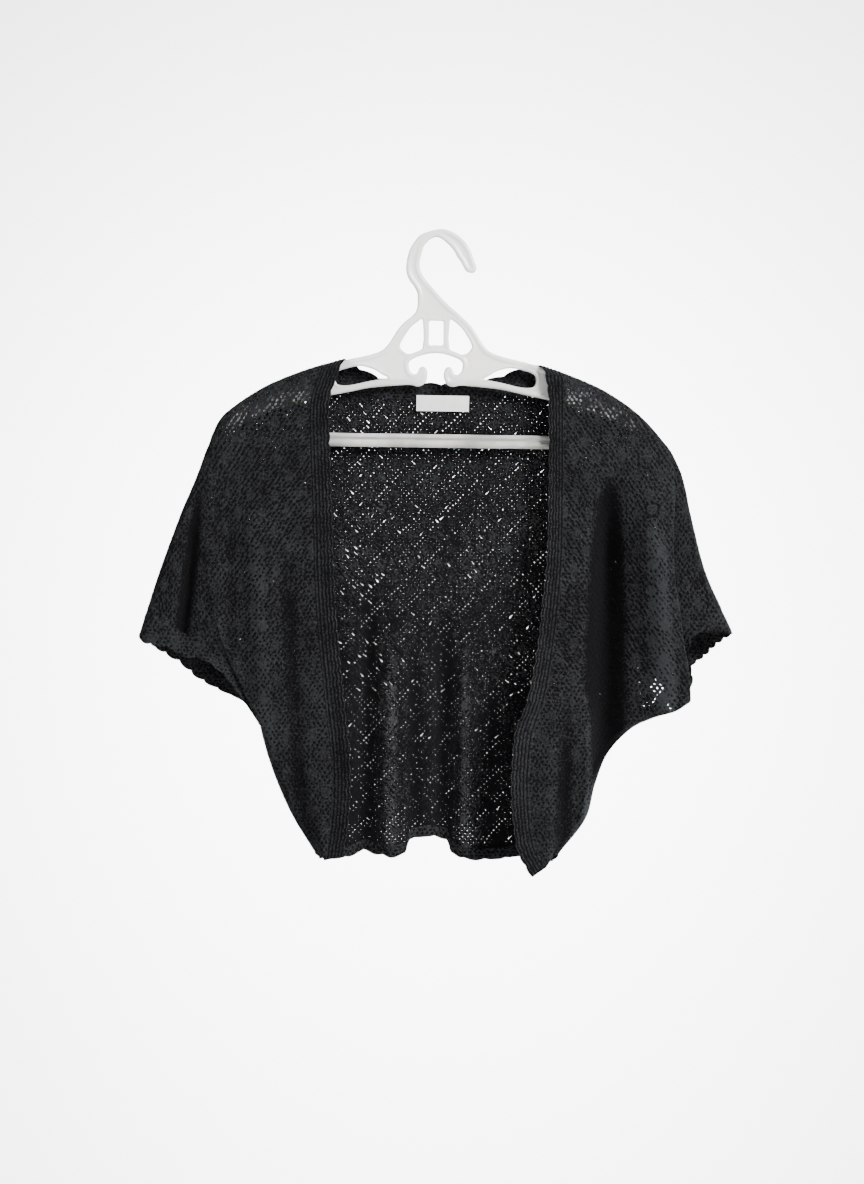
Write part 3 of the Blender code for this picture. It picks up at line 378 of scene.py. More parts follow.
# Round spots of close knit inside a ring of eyelets, drawn as a broken ring of painted shade: middle x and
# z, and radius
SPOTS = {"front_left": ((202, -259.5, 6.5), (202, -311.5, 6.5), (200, -336, 6))}
SPOT_RIM, RING_EYELETS, RING_WIDTH, RING_SHADE = 0.8, 9, 1.4, 0.6
# Ribs of the front bands, with the stitches across them, and painted shade in the valleys between the ribs
# and between the stitches
RIB_HEIGHT, RIB_PITCH, STITCH_PITCH, STITCH_LIFT, RIB_UNEVEN = 0.35, 3.4, 1.6, 0.16, 0.08
RIB_SHADE_BASE, RIB_SHADE, STITCH_SHADE_BASE, STITCH_SHADE, STITCH_DEPTH = 0.1, 0.7, 0.55, 0.45, -0.5
# Shade in the folds' hollows and light on their ridges, and the dim middle of the back
FOLD_SHALLOW, HOLLOW_DEPTH, RIDGE_LIGHT = 1.5, 7.0, 0.35
BACK_DIM, DIM_REACH, DIM_FADE = 0.13, 170.0, 70.0


def curved(start, end, start_slope, end_slope, span, s):
    """A smooth curve between two places with a slope at each, at a share of its span."""
    return (start * (2 * s**3 - 3 * s**2 + 1) + start_slope * (span * (s**3 - 2 * s**2 + s))
            + end * (3 * s**2 - 2 * s**3) + end_slope * (span * (s**3 - s**2)))


def spline(rows):
    """A smooth line through rows of numbers, as a function of 0 to 1, and its length in x, z."""
    points = [Vector(row) for row in rows]
    marks = [0.0]
    for before, after in zip(points, points[1:]):
        marks.append(marks[-1] + (after - before).to_2d().length)
    last = len(points) - 1
    slopes = []
    for i in range(last + 1):
        low, high = max(i - 1, 0), min(i + 1, last)
        slopes.append((points[high] - points[low]) / (marks[high] - marks[low]))

    def at(t):
        place = within(t) * marks[-1]
        i = 0
        while i < last - 1 and marks[i + 1] < place:
            i += 1
        span = marks[i + 1] - marks[i]
        s = (place - marks[i]) / span
        return curved(points[i], points[i + 1], slopes[i], slopes[i + 1], span, s)

    return at, marks[-1]


def between(rows, level):
    """The values of a table's row at a level, straight between rows that run downwards."""
    for high, low in zip(rows, rows[1:]):
        if level >= low[0] or low is rows[-1]:
            s = within((high[0] - level) / (high[0] - low[0]))
            return [a + (b - a) * s for a, b in zip(high, low)]


def layer(level, name):
    return between(LAYERS, level)[LAYER_COLUMNS.index(name)]


def within(s):
    """A number held between 0 and 1."""
    return min(max(s, 0.0), 1.0)


def clipped(values):
    """An array's values held between 0 and 1."""
    return np.clip(values, 0.0, 1.0)


def smooth(s):
    """A number from 0 to 1, eased at both ends."""
    s = within(s)
    return s * s * (3 - 2 * s)


def mix(a, b, s):
    return a + (b - a) * s


def folds(name, x, z):
    """How far the folds of a piece lift it towards the viewer at a place."""
    lift = 0.0
    for x_top, z_top, x_foot, z_foot, half_top, half_foot, height in FOLDS[name]:
        along = (z_top - z) / (z_top - z_foot)
        middle = mix(x_top, x_foot, along)
        half = mix(half_top, half_foot, within(along))
        fade = smooth(along / FOLD_FADE) * smooth((FOLD_REACH - along) / FOLD_FADE)
        lift += height * fade * math.exp(-((x - middle) / half) ** 2)
    return lift


def tilt(across, up):
    """A place in the hanger's upright frame, turned with the hanger."""
    return (across * math.cos(HANGER_ROLL) + up * math.sin(HANGER_ROLL),
            up * math.cos(HANGER_ROLL) - across * math.sin(HANGER_ROLL))


def sign(side):
    return -1 if side == "right" else 1


def shoulder_line(side):
    rows = [tilt(sign(side) * across, up) for across, up in SHOULDER]
    return spline(rows + [SHOULDER_END[side]])


def shoulder_at(side, across):
    """The place on a side's shoulder line at a distance from the hanger's middle."""
    line, length = shoulder_line(side)
    return line(math.hypot(1, SHOULDER_SLOPE) * (across - SHOULDER[0][0]) / length)


def neck_corner(side):
    return shoulder_at(side, NECK_POINT[side] + BAND_WIDTH)


def shoulder_height(x):
    """The level of the shoulders over a place, carried straight on across the neck."""
    side = "right" if x < 0 else "left"
    neck = shoulder_at(side, NECK_POINT[side])
    if abs(x) <= abs(neck.x):
        return neck.y + SHOULDER_SLOPE * (abs(neck.x) - abs(x))
    line, _ = shoulder_line(side)
    low, high = 0.0, 1.0
    for _ in range(HALVINGS):
        middle = (low + high) / 2
        if abs(line(middle).x) < abs(x):
            low = middle
        else:
            high = middle
    return line(low).y


def shoulder_drop(x, z):
    """How far a place near the neck has turned down from the line of the shoulders, 0 to 1."""
    s = within((shoulder_height(x) - z) / TURN)
    return math.sqrt(1 - (1 - s) ** 2)


def neck_run(side, drop):
    """The way down a front's neck edge for a drop: outwards a little as it goes down."""
    return Vector((sign(side) * NECK_LEAN * -drop, drop))


def neck_marks(length, steps):
    """Places along the back's neck line: by angle while it turns at both ends, then even."""
    ends = [TURN * (1 - math.cos(math.radians(a))) / length for a in NECK_TURN]
    inner = steps - 2 * len(ends)
    middle = [mix(ends[-1], 1 - ends[-1], k / inner) for k in range(1, inner)]
    return [0.0] + ends + middle + [1 - end for end in reversed(ends)] + [1.0]


def turn_marks(length):
    """Places along an armhole or cuff line with their turns at the top and the underarm."""
    radius = min(TURN, length / SHORT_LINE_PARTS)
    marks = [(radius * (1 - math.cos(math.radians(a))), math.sin(math.radians(a)), 1.0)
             for a in SHOULDER_TURN]
    for k in range(1, ARMHOLE_STEPS):
        marks.append((mix(radius, length - radius, k / ARMHOLE_STEPS), 1.0, 1.0))
    for a in UNDERARM_TURN:
        marks.append((length - radius * (1 - math.cos(math.radians(a))), 1.0, math.sin(math.radians(a))))
    return [(place / length, top, under) for place, top, under in marks]


def outer_line(side):
    """Rows down a body panel's outer seam.

    Each has its spot, how far the fold hangs over the seam, the depths of the panel's edge and of
    the seam, how far it has turned over at the top and the underarm, its mark from 0 to 1 along
    the seam, and the way outwards.
    """
    line, length = shoulder_line(side)
    first = line(1.0)
    head = (first.x, first.y, 0.0, SHOULDER_DEPTH, SHOULDER_DEPTH)
    armhole, arm_length = spline((head,) + ARMHOLE[side])
    seam, _ = spline((ARMHOLE[side][-1],) + SIDE[side])
    places = [(armhole(t), top, under) for t, top, under in turn_marks(arm_length)]
    places += [(seam(k / SIDE_STEPS), 1.0, 0.0) for k in range(1, SIDE_STEPS + 1)]
    rows, run = [], 0.0
    for (x, z, overhang, edge, depth), top, under in places:
        row = SimpleNamespace(spot=Vector((x, z)), overhang=overhang, edge=edge, depth=depth)
        row.top, row.under = top, under
        run += (row.spot - rows[-1].spot).length if rows else 0.0
        row.run = run
        rows.append(row)
    outward = (line(1.0) - line(1.0 - SIDE_WIDTH / length)).normalized()
    for row in rows:
        row.mark = row.run / run
        bend = smooth(row.mark * run / BEND_LENGTH)
        row.way = outward.lerp(Vector((sign(side), 0.0)), bend).normalized()
    return rows


def panel_points(inner, outer, top, bottom, across, down):
    """Places of a four-sided panel between its four edges."""
    last_row = len(down) - 1
    grid = []
    for j, b in enumerate(down):
        row = []
        for i, a in enumerate(across):
            edges = (inner[j] * (1 - a) + outer[j] * a + top[i] * (1 - b) + bottom[i] * b)
            corners = (inner[0] * (1 - a) * (1 - b) + outer[0] * a * (1 - b)
                       + inner[last_row] * (1 - a) * b + outer[last_row] * a * b)
            row.append(edges - corners)
        grid.append(row)
    return grid


def narrow(row_length):
    return min(SIDE_WIDTH, NARROW_SHARE * row_length)


def side_turn(row, depth, width, overhang, edge_seam):
    """Points of a row past its flat part, turned over to the seam: the nearest is first."""
    points = []
    for angle in SIDE_TURN:
        turn = math.radians(angle)
        reach = (overhang - width) + width * math.sin(turn) - overhang * (1 - math.cos(turn))
        points.append((row.spot + row.way * reach, edge_seam + (depth - edge_seam) * math.cos(turn)))
    return points


def front_panel(side):
    """Points of a front panel in rows from the shoulder down, from the band seam outwards."""
    rows = outer_line(side)
    down = [row.mark for row in rows]
    corner = neck_corner(side)
    turned = len(SHOULDER_TURN) - 1
    inner = [corner + neck_run(side, -(row.spot - rows[0].spot).length) for row in rows[:turned + 1]]
    seam, _ = spline([tuple(inner[-1])] + [row[:2] for row in BAND[side]])
    inner += [seam((b - down[turned]) / (1 - down[turned])) for b in down[turned + 1:]]
    widths = [narrow((row.spot - start).length) for row, start in zip(rows, inner)]
    edge = [row.spot + row.way * (row.overhang - width) for row, width in zip(rows, widths)]
    across = [i / FRONT_STEPS for i in range(FRONT_STEPS + 1)]
    line, length = shoulder_line(side)
    start = (corner - line(0.0)).length / length
    top = [line(mix(start, 1 - SIDE_WIDTH / length, a)) for a in across]
    top[0], top[-1] = inner[0], edge[0]
    bottom = [inner[-1].lerp(edge[-1], a) for a in across]
    flat = panel_points(inner, edge, top, bottom, across, down)
    grid = []
    for row, width, spots in zip(rows, widths, flat):
        points = []
        for a, spot in zip(across, spots):
            depth = mix(layer(spot.y, "front_open"), row.edge, smooth((a - FLAT_SHARE) / (1 - FLAT_SHARE)))
            points.append((spot, depth + folds("front_" + side, *spot)))
        seam_depth = row.depth * row.under + LAP * min(row.overhang / FULL_OVERHANG, 1.0)
        points += side_turn(row, points[-1][1], width, row.overhang, seam_depth)
        grid.append([Vector((spot.x, -depth * row.top, spot.y)) for spot, depth in points])
    return grid


def back_columns():
    """Fractions across the back's flat part, with the place of each on the hem."""
    right_end, left_end = HEM[0][0] + SIDE_WIDTH / 2, HEM[-1][0] - SIDE_WIDTH / 2
    places = [mix(right_end, HEM_SPANS[0][0], k / SHOULDER_STEPS) for k in range(SHOULDER_STEPS)]
    for start, end, steps in HEM_SPANS:
        places += [mix(start, end, k / steps) for k in range(steps)]
    places += [mix(HEM_SPANS[-1][1], left_end, k / SHOULDER_STEPS) for k in range(SHOULDER_STEPS + 1)]
    return places


def back_panel():
    """Points of the back in rows from the shoulders down, from the wearer's right to left."""
    rows = {side: outer_line(side) for side in ("right", "left")}
    down = [(right.mark + left.mark) / 2 for right, left in zip(rows["right"], rows["left"])]
    hem_places = back_columns()
    last = len(hem_places) - 1
    across = [i / last for i in range(last + 1)]
    shoulders, edges = {}, {}
    for side in rows:
        line, length = shoulder_line(side)
        start = (neck_corner(side) - line(0.0)).length / length
        end = 1 - SIDE_WIDTH / length
        shoulders[side] = [line(mix(start, end, k / SHOULDER_STEPS)) for k in range(SHOULDER_STEPS + 1)]
        edges[side] = [row.spot - row.way * SIDE_WIDTH for row in rows[side]]
    corners = [tuple(neck_corner(side)) for side in ("right", "left")]
    neck, neck_length = spline([corners[0]] + list(NECK_SEAM) + [corners[1]])
    marks = neck_marks(neck_length, last - 2 * SHOULDER_STEPS)
    top = shoulders["right"][:0:-1] + [neck(mark) for mark in marks] + shoulders["left"][1:]
    edges["right"][0], edges["left"][0] = top[0], top[-1]
    bottom = [Vector((x, between_x(HEM, x))) for x in hem_places]
    edges["right"][-1], edges["left"][-1] = bottom[0], bottom[-1]
    flat = panel_points(edges["right"], edges["left"], top, bottom, across, down)
    grid = []
    for j, spots in enumerate(flat):
        turn = rows["right"][j].top
        points = []
        for i, spot in enumerate(spots):
            from_middle = abs(2 * across[i] - 1)
            depth = mix(layer(spot.y, "back_middle"), layer(spot.y, "back_side"), smooth(from_middle))
            depth -= folds("back", *spot)
            bare = SHOULDER_STEPS <= i <= last - SHOULDER_STEPS
            neck_turn = shoulder_drop(*top[i]) if bare else 0.0
            points.append((spot, depth * (1 - (1 - neck_turn) * (1 - turn))))
        ends = {}
        for side, depth in (("right", points[0][1]), ("left", points[-1][1])):
            row = rows[side][j]
            seam_depth = layer(row.spot.y, "back_side") * row.under * turn
            ends[side] = side_turn(row, depth, SIDE_WIDTH, 0.0, seam_depth)
        points = ends["right"][::-1] + points + ends["left"]
        grid.append([Vector((spot.x, depth, spot.y)) for spot, depth in points])
    return grid


def between_x(rows, x):
    """The second column of a table at a value of its rising first column."""
    for low, high in zip(rows, rows[1:]):
        if x <= high[0]:
            return mix(low[1], high[1], smooth((x - low[0]) / (high[0] - low[0])))
    return rows[-1][1]


def sleeve_rings(side):
    """Rings of a sleeve from its armhole to the cuff's seam: down the front and up the back."""
    rows = outer_line(side)[:ARMHOLE_ROWS]
    head = rows[0].spot
    top_line, _ = spline([tuple(head)] + list(SLEEVE_TOP[side]))
    rings = []
    for k in range(SLEEVE_STEPS + 1):
        v = k / SLEEVE_STEPS
        halves = {}
        for face, way in (("front", -1), ("back", 1)):
            cuff, cuff_length = spline(CUFF_SEAM[side][face])
            half = []
            for row, (t, top, under) in zip(rows, turn_marks(cuff_length)):
                spot = row.spot.lerp(cuff(t), v)
                line = head.lerp(cuff(0.0), v)
                spot = spot + (top_line(v) - line) * (1 - smooth(t / TOP_LINE_REACH))
                seam_depth = row.depth if face == "front" else layer(row.spot.y, "back_side")
                depth = mix(seam_depth, CUFF_SEAM_DEPTH[side], v) * top * under
                if face == "front":
                    depth += folds("sleeve_" + side, *spot) * top * under * smooth(v * SLEEVE_FOLD_RISE)
                half.append(Vector((spot.x, way * depth, spot.y)))
            halves[face] = half
        rings.append(halves["front"] + halves["back"][-2:0:-1])
    return rings


def place_on(points, t):
    """The place at a part of the way along a chain of points: its step, and how far into it."""
    lengths = [(b - a).length for a, b in zip(points, points[1:])]
    left = within(t) * sum(lengths)
    for i, length in enumerate(lengths):
        if left <= length or i == len(lengths) - 1:
            return i, min(left / length, 1.0)
        left -= length


def point_at(points, place):
    return points[place[0]].lerp(points[place[0] + 1], place[1])


def marks_of(points):
    """How far along a chain each of its points lies, 0 to 1."""
    marks = [0.0]
    for a, b in zip(points, points[1:]):
        marks.append(marks[-1] + (b - a).length)
    return [mark / marks[-1] for mark in marks]


def scallop(t, waves):
    """A row of round waves: 0 in the notches and 1 at the crests."""
    return abs(math.sin(math.pi * waves * t)) ** SCALLOP_ROUND


def strip_marks(waves, chain):
    """Places along a scalloped strip: its seam's own points, and even steps along the waves."""
    steps = waves * SCALLOP_STEPS
    own = marks_of(chain)
    even = [k / steps for k in range(steps + 1)]
    return sorted(own + [t for t in even if min(abs(t - mark) for mark in own) > LEAST_STEP / steps])


def strip(waves, chain, edge_at):
    """Pairs of points across a strip: on the seam of the piece that carries it, and on its edge."""
    pairs = []
    for t in strip_marks(waves, chain):
        place = place_on(chain, t)
        pairs.append([point_at(chain, place), edge_at(t, place)])
    return pairs


def waved(edge, seam, reach, t, waves):
    """A point of an edge, drawn back towards its seam in the notches between the waves."""
    return edge + (edge - seam).normalized() * (reach * (scallop(t, waves) - 1))


def front_band(side, panel):
    """A front band: its seam on the panel's edge and its scalloped edge at the opening."""
    chain = [row[0] for row in panel]
    down = [row.mark for row in outer_line(side)]
    neck = shoulder_at(side, NECK_POINT[side])
    turned_row = len(SHOULDER_TURN) - 1
    first = neck + neck_run(side, chain[turned_row].z - chain[0].z)
    opening, _ = spline([tuple(first) + (0.0,)] + [row[2:] for row in BAND[side]])

    def edge_at(t, place):
        seam = point_at(chain, place)
        if place[0] < turned_row:
            x, z = neck + neck_run(side, seam.z - chain[0].z)
            forward = 0.0
        else:
            b = mix(down[place[0]], down[place[0] + 1], place[1])
            x, z, forward = opening((b - down[turned_row]) / (1 - down[turned_row]))
        turned = min(1.0, -seam.y / layer(seam.z, "front_open"))
        edge = Vector((x, -(layer(z, "front_open") + forward) * turned, z))
        return waved(edge, seam, FRONT_BAND_REACH * turned, t, FRONT_BAND_WAVES)

    return strip(FRONT_BAND_WAVES, chain, edge_at)


def neck_band(panel):
    """The back neck band: its seam on the back's upper edge and its scalloped upper edge."""
    first = len(SIDE_TURN) + SHOULDER_STEPS
    chain = panel[0][first:-first]
    ends = [tuple(shoulder_at(side, NECK_POINT[side])) for side in ("right", "left")]
    upper, length = spline([ends[0]] + list(NECK_EDGE) + [ends[1]])
    marks = neck_marks(length, len(chain) - 1)

    def edge_at(t, place):
        x, z = upper(mix(marks[place[0]], marks[place[0] + 1], place[1]))
        turned = shoulder_drop(x, z)
        edge = Vector((x, layer(z, "back_middle") * turned, z))
        return waved(edge, point_at(chain, place), NECK_BAND_REACH * turned, t, NECK_BAND_WAVES)

    return strip(NECK_BAND_WAVES, chain, edge_at)


def hem_band(panel):
    """The scalloped edging under the back."""
    chain, inner_chain = panel[-1], panel[-2]

    def edge_at(t, place):
        seam = point_at(chain, place)
        down = Vector((0.0, 0.0, -1.0)) + (seam - point_at(inner_chain, place)).normalized() * HEM_FLOW
        width = mix(HEM_END_WIDTH, HEM_BAND_WIDTH, smooth(min(t, 1 - t) / HEM_END))
        return seam + down.normalized() * (width + HEM_REACH * (scallop(t, HEM_WAVES) - 1))

    return strip(HEM_WAVES, chain, edge_at)


def half_rings(ring):
    """The front and the back half of a ring, both from its top fold to the underarm."""
    half = ARMHOLE_ROWS - 1
    return ring[:half + 1], [ring[0]] + ring[:half - 1:-1]


def cuff_rings(side, sleeve):
    """A cuff: its seam on the sleeve's last ring and its scalloped free edge."""
    waves = CUFF_WAVES // 2
    halves = []
    for face, way, chain in zip(("front", "back"), (-1, 1), half_rings(sleeve[-1])):
        line, length = spline(CUFF_EDGE[side][face])

        def edge_at(t, place):
            near = min(min(t, 1 - t) * length / TURN, 1.0)
            x, z = line(t)
            edge = Vector((x, way * CUFF_EDGE_DEPTH[side] * math.sqrt(1 - (1 - near) ** 2), z))
            return waved(edge, point_at(chain, place), CUFF_REACH, t, waves)

        halves.append(strip(waves, chain, edge_at))
    front, back = halves
    return [[pair[k] for pair in front + back[-2:0:-1]] for k in range(2)]


def as_array(grid):
    return np.array([[tuple(point) for point in row] for row in grid])


def knots(array):
    """Marks along the first axis by the mean distance between its slices, and their length."""
    steps = np.linalg.norm(np.diff(array, axis=0), axis=2).mean(axis=1)
    marks = np.concatenate([[0.0], np.cumsum(steps)])
    return marks, marks[-1]


def resample(array, spacing):
    """The array's first axis at even marks with about the given spacing, along smooth lines."""
    marks, length = knots(array)
    keep = np.concatenate([[True], np.diff(marks) > NEAR])
    array, marks = array[keep], marks[keep]
    count = max(int(round(length / spacing)), 1)
    at = np.linspace(0.0, length, count + 1)
    gaps = np.diff(marks)[:, None, None]
    rates = np.diff(array, axis=0) / gaps
    slopes = np.empty_like(array)
    slopes[0], slopes[-1] = rates[0], rates[-1]
    slopes[1:-1] = (rates[:-1] * gaps[1:] + rates[1:] * gaps[:-1]) / (gaps[1:] + gaps[:-1])
    i = np.clip(np.searchsorted(marks, at, side="right") - 1, 0, len(marks) - 2)
    s = ((at - marks[i]) / gaps[i, 0, 0])[:, None, None]
    return curved(array[i], array[i + 1], slopes[i], slopes[i + 1], gaps[i], s)


def fine(grid, cell, closed=False):
    """A construction grid with small even cells; closed joins its last column to its first."""
    array = as_array(grid)
    if closed:
        array = np.concatenate([array, array[:, :1]], axis=1)
    array = resample(resample(array, cell).transpose(1, 0, 2), cell).transpose(1, 0, 2)
    return array[:, :-1] if closed else array


def normals_of(points, closed):
    """Unit normals of a grid of points."""
    if closed:
        across = np.roll(points, -1, axis=1) - np.roll(points, 1, axis=1)
    else:
        across = np.gradient(points, axis=1)
    normal = np.cross(across, np.gradient(points, axis=0))
    return normal / np.maximum(np.linalg.norm(normal, axis=2, keepdims=True), TINY)


def eyelets(x, z, seed, net):
    """The nearest eyelet of each place: its middle's x and z, radius, whether it is open, and pit.

    The eyelets lie on a lattice whose diagonals run both ways. Every fifth diagonal has larger
    ones, which draw the diamonds, and the middle of a diamond is plain.
    """
    step_across, step_up, slant, scatter = net
    table = np.random.default_rng(seed).random((CHANCES, CHANCES, CHANCE_KINDS))
    bend_x = WAVER * (np.sin(z / SIDE_WAVES[0] + seed) + np.sin(z / SIDE_WAVES[1] + x / SIDE_WAVES[2]))
    bend_z = WAVER * (np.sin(x / RISE_WAVES[0] + 2 * seed) + np.sin(x / RISE_WAVES[1] - z / RISE_WAVES[2]))
    x, z = x + bend_x, z + bend_z
    falling = x / step_across + z / (2 * step_up)
    rising = x / step_across - z / (2 * step_up)
    i, j = np.rint(falling).astype(int), np.rint(rising).astype(int)
    chance = np.moveaxis(table[i % CHANCES, j % CHANCES], -1, 0)
    chance_x, chance_z, chance_size, chance_open, chance_pit = chance
    on_rising, on_falling = j % DIAMOND == 0, i % DIAMOND == 0
    radius = np.where(on_falling, LARGE_EYELET * slant, SMALL_EYELET)
    radius = np.where(on_rising, LARGE_EYELET, radius) * (LEAST_RADIUS + RADIUS_SPREAD * chance_size)
    inside = ~on_rising & ~on_falling
    shut = chance_open < np.where(inside, CLOSED_INSIDE, CLOSED_SHARE)
    plain = (np.abs(i % DIAMOND - DIAMOND / 2) < 1) & (np.abs(j % DIAMOND - DIAMOND / 2) < 1)
    centre_x = step_across * (i + j) / 2 + scatter * (chance_x - 0.5) - bend_x
    centre_z = step_up * (i - j) + scatter * (chance_z - 0.5) - bend_z
    pit = np.where(plain, 0.0, LEAST_PIT + PIT_SPREAD * chance_pit)
    return centre_x, centre_z, radius, ~shut & ~plain, pit


def wrapped(points, closed):
    """The grid with its first column again at the end, where it is a tube."""
    return np.concatenate([points, points[:, :1]], axis=1) if closed else points


def knitted(node, points, made, closed=False, net=FRONT_NET, fade=FADE, holes=True, dim=0.0):
    """A knit sheet through a fine grid: eyelets cut round, and the yarns between them raised.

    dim is how much darker the piece lies at its top, in the shade between the fronts. It lies
    twice as dark lower down.
    """
    points = points.copy()
    rows, columns = points.shape[:2]
    seed = SEEDS[node]
    normal = normals_of(points, closed)
    lift = YARN_UNEVEN * np.random.default_rng(seed + LIFT_SEED).standard_normal((rows, columns))
    wide = wrapped(points, closed)
    cut = np.zeros((wide.shape[0] - 1, wide.shape[1] - 1), dtype=bool)
    if holes:
        cut = cut_eyelets(node, points, wide, closed, net, fade)
    x, z = points[..., 0], points[..., 2]
    hole_x, hole_z, radius, is_open, depth = eyelets(x, z, seed, net)
    depth, ring = spotted(node, points, depth)
    away = np.hypot(x - hole_x, z - hole_z)
    facing = clipped((np.abs(normal[..., 1]) - STEEP_SHARE) / STEEP_SPAN)
    depth, ring = depth * facing, ring * facing
    yarn = np.where(depth > 0, clipped((away - YARN_START) / YARN_REACH), PLAIN_LIFT)
    lift += YARN_HEIGHT * (PLAIN_LIFT + (yarn - PLAIN_LIFT) * facing)
    lift -= np.where(is_open & holes, 0.0, depth * PIT_DEPTH * clipped(PIT_REACH - away))
    lift *= edge_fade(rows, columns, closed)
    # Painted shade in and round each eyelet and closed pit, and the painted ring round each close-knit spot
    shade = np.maximum(depth * clipped((radius + SHADE_REACH - away) / SHADE_EDGE), ring)
    # Painted shade in the folds' hollows and painted light on their ridges, and painted shade on the middle
    # of the back, twice as dark lower down
    fold = fold_lift(node, points)
    fold = np.sign(fold) * np.maximum(np.abs(fold) - FOLD_SHALLOW, 0.0)
    hollow = np.clip(-fold / HOLLOW_DEPTH, -RIDGE_LIGHT, 1.0)
    hollow += dim * clipped((DIM_REACH - np.abs(x)) / DIM_FADE) * (2.0 - faded(z, 0.0))
    points = points + normal * lift[..., None]
    return grid_object(node + "_knit", points * MM, ~cut, closed, made, shade, hollow)


def cut_eyelets(node, points, wide, closed, net, fade):
    """Picks the cell over each open eyelet, and moves its corners onto the eyelet's rim."""
    columns = points.shape[1]
    centre = (wide[:-1, :-1] + wide[1:, :-1] + wide[:-1, 1:] + wide[1:, 1:]) / 4
    across = ((wide[:-1, 1:] + wide[1:, 1:] - wide[:-1, :-1] - wide[1:, :-1]) / 2)[..., [0, 2]]
    down = ((wide[1:, :-1] + wide[1:, 1:] - wide[:-1, :-1] - wide[:-1, 1:]) / 2)[..., [0, 2]]
    area = across[..., 0] * down[..., 1] - across[..., 1] * down[..., 0]
    square = np.linalg.norm(across, axis=2) * np.linalg.norm(down, axis=2)
    hole_x, hole_z, radius, is_open, depth = eyelets(centre[..., 0], centre[..., 2], SEEDS[node], net)
    depth, _ = spotted(node, centre, depth)
    radius = radius * faded(centre[..., 2], fade)
    for *ends, reach, size in PATCHES.get(node, ()):
        near = np.exp(-(line_distance(hole_x, hole_z, *ends) / reach) ** 2)
        radius = radius + (size * (PATCH_LEAST + radius / LARGE_EYELET / PATCH_PARTS) - radius) * near
        is_open = is_open | ((near > PATCH_OPEN) & (depth > 0))
    off_x, off_z = hole_x - centre[..., 0], hole_z - centre[..., 2]
    safe = np.where(np.abs(area) < TINY, 1.0, area)
    u = (off_x * down[..., 1] - off_z * down[..., 0]) / safe
    v = (across[..., 0] * off_z - across[..., 1] * off_x) / safe
    cut = (np.abs(u) <= 0.5) & (np.abs(v) <= 0.5) & is_open & (depth > 0)
    cut &= np.abs(area) > LEAST_AREA.get(node, LEAST_SQUARE * square)
    cut &= np.abs(normals_of(centre, False)[..., 1]) > LEAST_FACING
    cut[:RIM_CELLS], cut[-RIM_CELLS:] = False, False
    if not closed:
        cut[:, :RIM_CELLS], cut[:, -RIM_CELLS:] = False, False
    i, j = np.nonzero(cut)
    run = across[i, j] / np.linalg.norm(across[i, j], axis=1, keepdims=True)
    drop = down[i, j] / np.linalg.norm(down[i, j], axis=1, keepdims=True)
    reach = radius[i, j, None] * math.sqrt(0.5)
    for step_down in (0, 1):
        for step_on in (0, 1):
            place = (run * (2 * step_on - 1) + drop * (2 * step_down - 1)) * reach
            points[i + step_down, (j + step_on) % columns, 0] = hole_x[i, j] + place[:, 0]
            points[i + step_down, (j + step_on) % columns, 2] = hole_z[i, j] + place[:, 1]
    return cut


def line_distance(x, z, from_x, from_z, to_x, to_z):
    """How far places lie from a straight line between two ends."""
    run_x, run_z = to_x - from_x, to_z - from_z
    length = max(run_x**2 + run_z**2, NEAR)
    along = clipped(((x - from_x) * run_x + (z - from_z) * run_z) / length)
    return np.hypot(x - from_x - run_x * along, z - from_z - run_z * along)


def spotted(node, points, depth):
    """Closes the eyelets inside the close-knit spots, and paints shade in a broken ring round each, for its
    ring of eyelets.
    """
    ring = np.zeros_like(depth)
    for x, z, radius in SPOTS.get(node, ()):
        away = np.hypot(points[..., 0] - x, points[..., 2] - z)
        depth = np.where(away < radius - SPOT_RIM, 0.0, depth)
        broken = 0.5 + 0.5 * np.sin(RING_EYELETS * np.arctan2(points[..., 2] - z, points[..., 0] - x))
        ring = np.maximum(ring, RING_SHADE * clipped(RING_WIDTH - np.abs(away - radius)) * broken)
    return depth, ring


def edge_fade(rows, columns, closed):
    """Yarns lie lower within three cells of a seam, so that the pieces meet."""
    down, across = (np.minimum(np.arange(count), np.arange(count)[::-1]) for count in (rows, columns))
    fade = clipped(down / SEAM_CELLS)[:, None]
    return fade if closed else np.minimum(fade, clipped(across / SEAM_CELLS))


def fold_lift(node, points):
    """How far the named folds of a piece lift it at each point of its grid."""
    x, z = points[..., 0], points[..., 2]
    lift = np.zeros_like(x)
    for x_top, z_top, x_foot, z_foot, half_top, half_foot, height in FOLDS.get(node, ()):
        along = (z_top - z) / (z_top - z_foot)
        half = half_top + (half_foot - half_top) * clipped(along)
        fade = clipped(along / FOLD_FADE) * clipped((FOLD_REACH - along) / FOLD_FADE)
        lift += height * fade * np.exp(-((x - x_top - (x_foot - x_top) * along) / half) ** 2)
    return lift


def faded(z, fade):
    """Eyelets are drawn smaller towards the hem."""
    s = clipped((z - FADE_TOP) / (FADE_FOOT - FADE_TOP))
    return 1.0 + (fade - 1.0) * s


def grid_object(name, points, kept, closed, made, shade=None, hollow=None):
    """A mesh of the kept cells of a grid of points, with each point's shades where given."""
    rows, columns = points.shape[:2]
    index = wrapped(np.arange(rows * columns).reshape(rows, columns), closed)
    faces = np.stack([index[:-1, :-1], index[1:, :-1], index[1:, 1:], index[:-1, 1:]], axis=-1)[kept]
    used, faces = np.unique(faces, return_inverse=True)
    mesh = bpy.data.meshes.new(name)
    mesh.from_pydata(points.reshape(-1, 3)[used].tolist(), [], faces.reshape(-1, 4).tolist())
    for title, values in (("shade", shade), ("hollow", hollow)):
        if values is not None:
            kind = mesh.attributes.new(title, "FLOAT", "POINT")
            kind.data.foreach_set("value", values.reshape(-1)[used].astype(np.float32))
    mesh.update()
    mesh.shade_smooth()
    mesh.materials.append(made)
    return put(name, mesh)


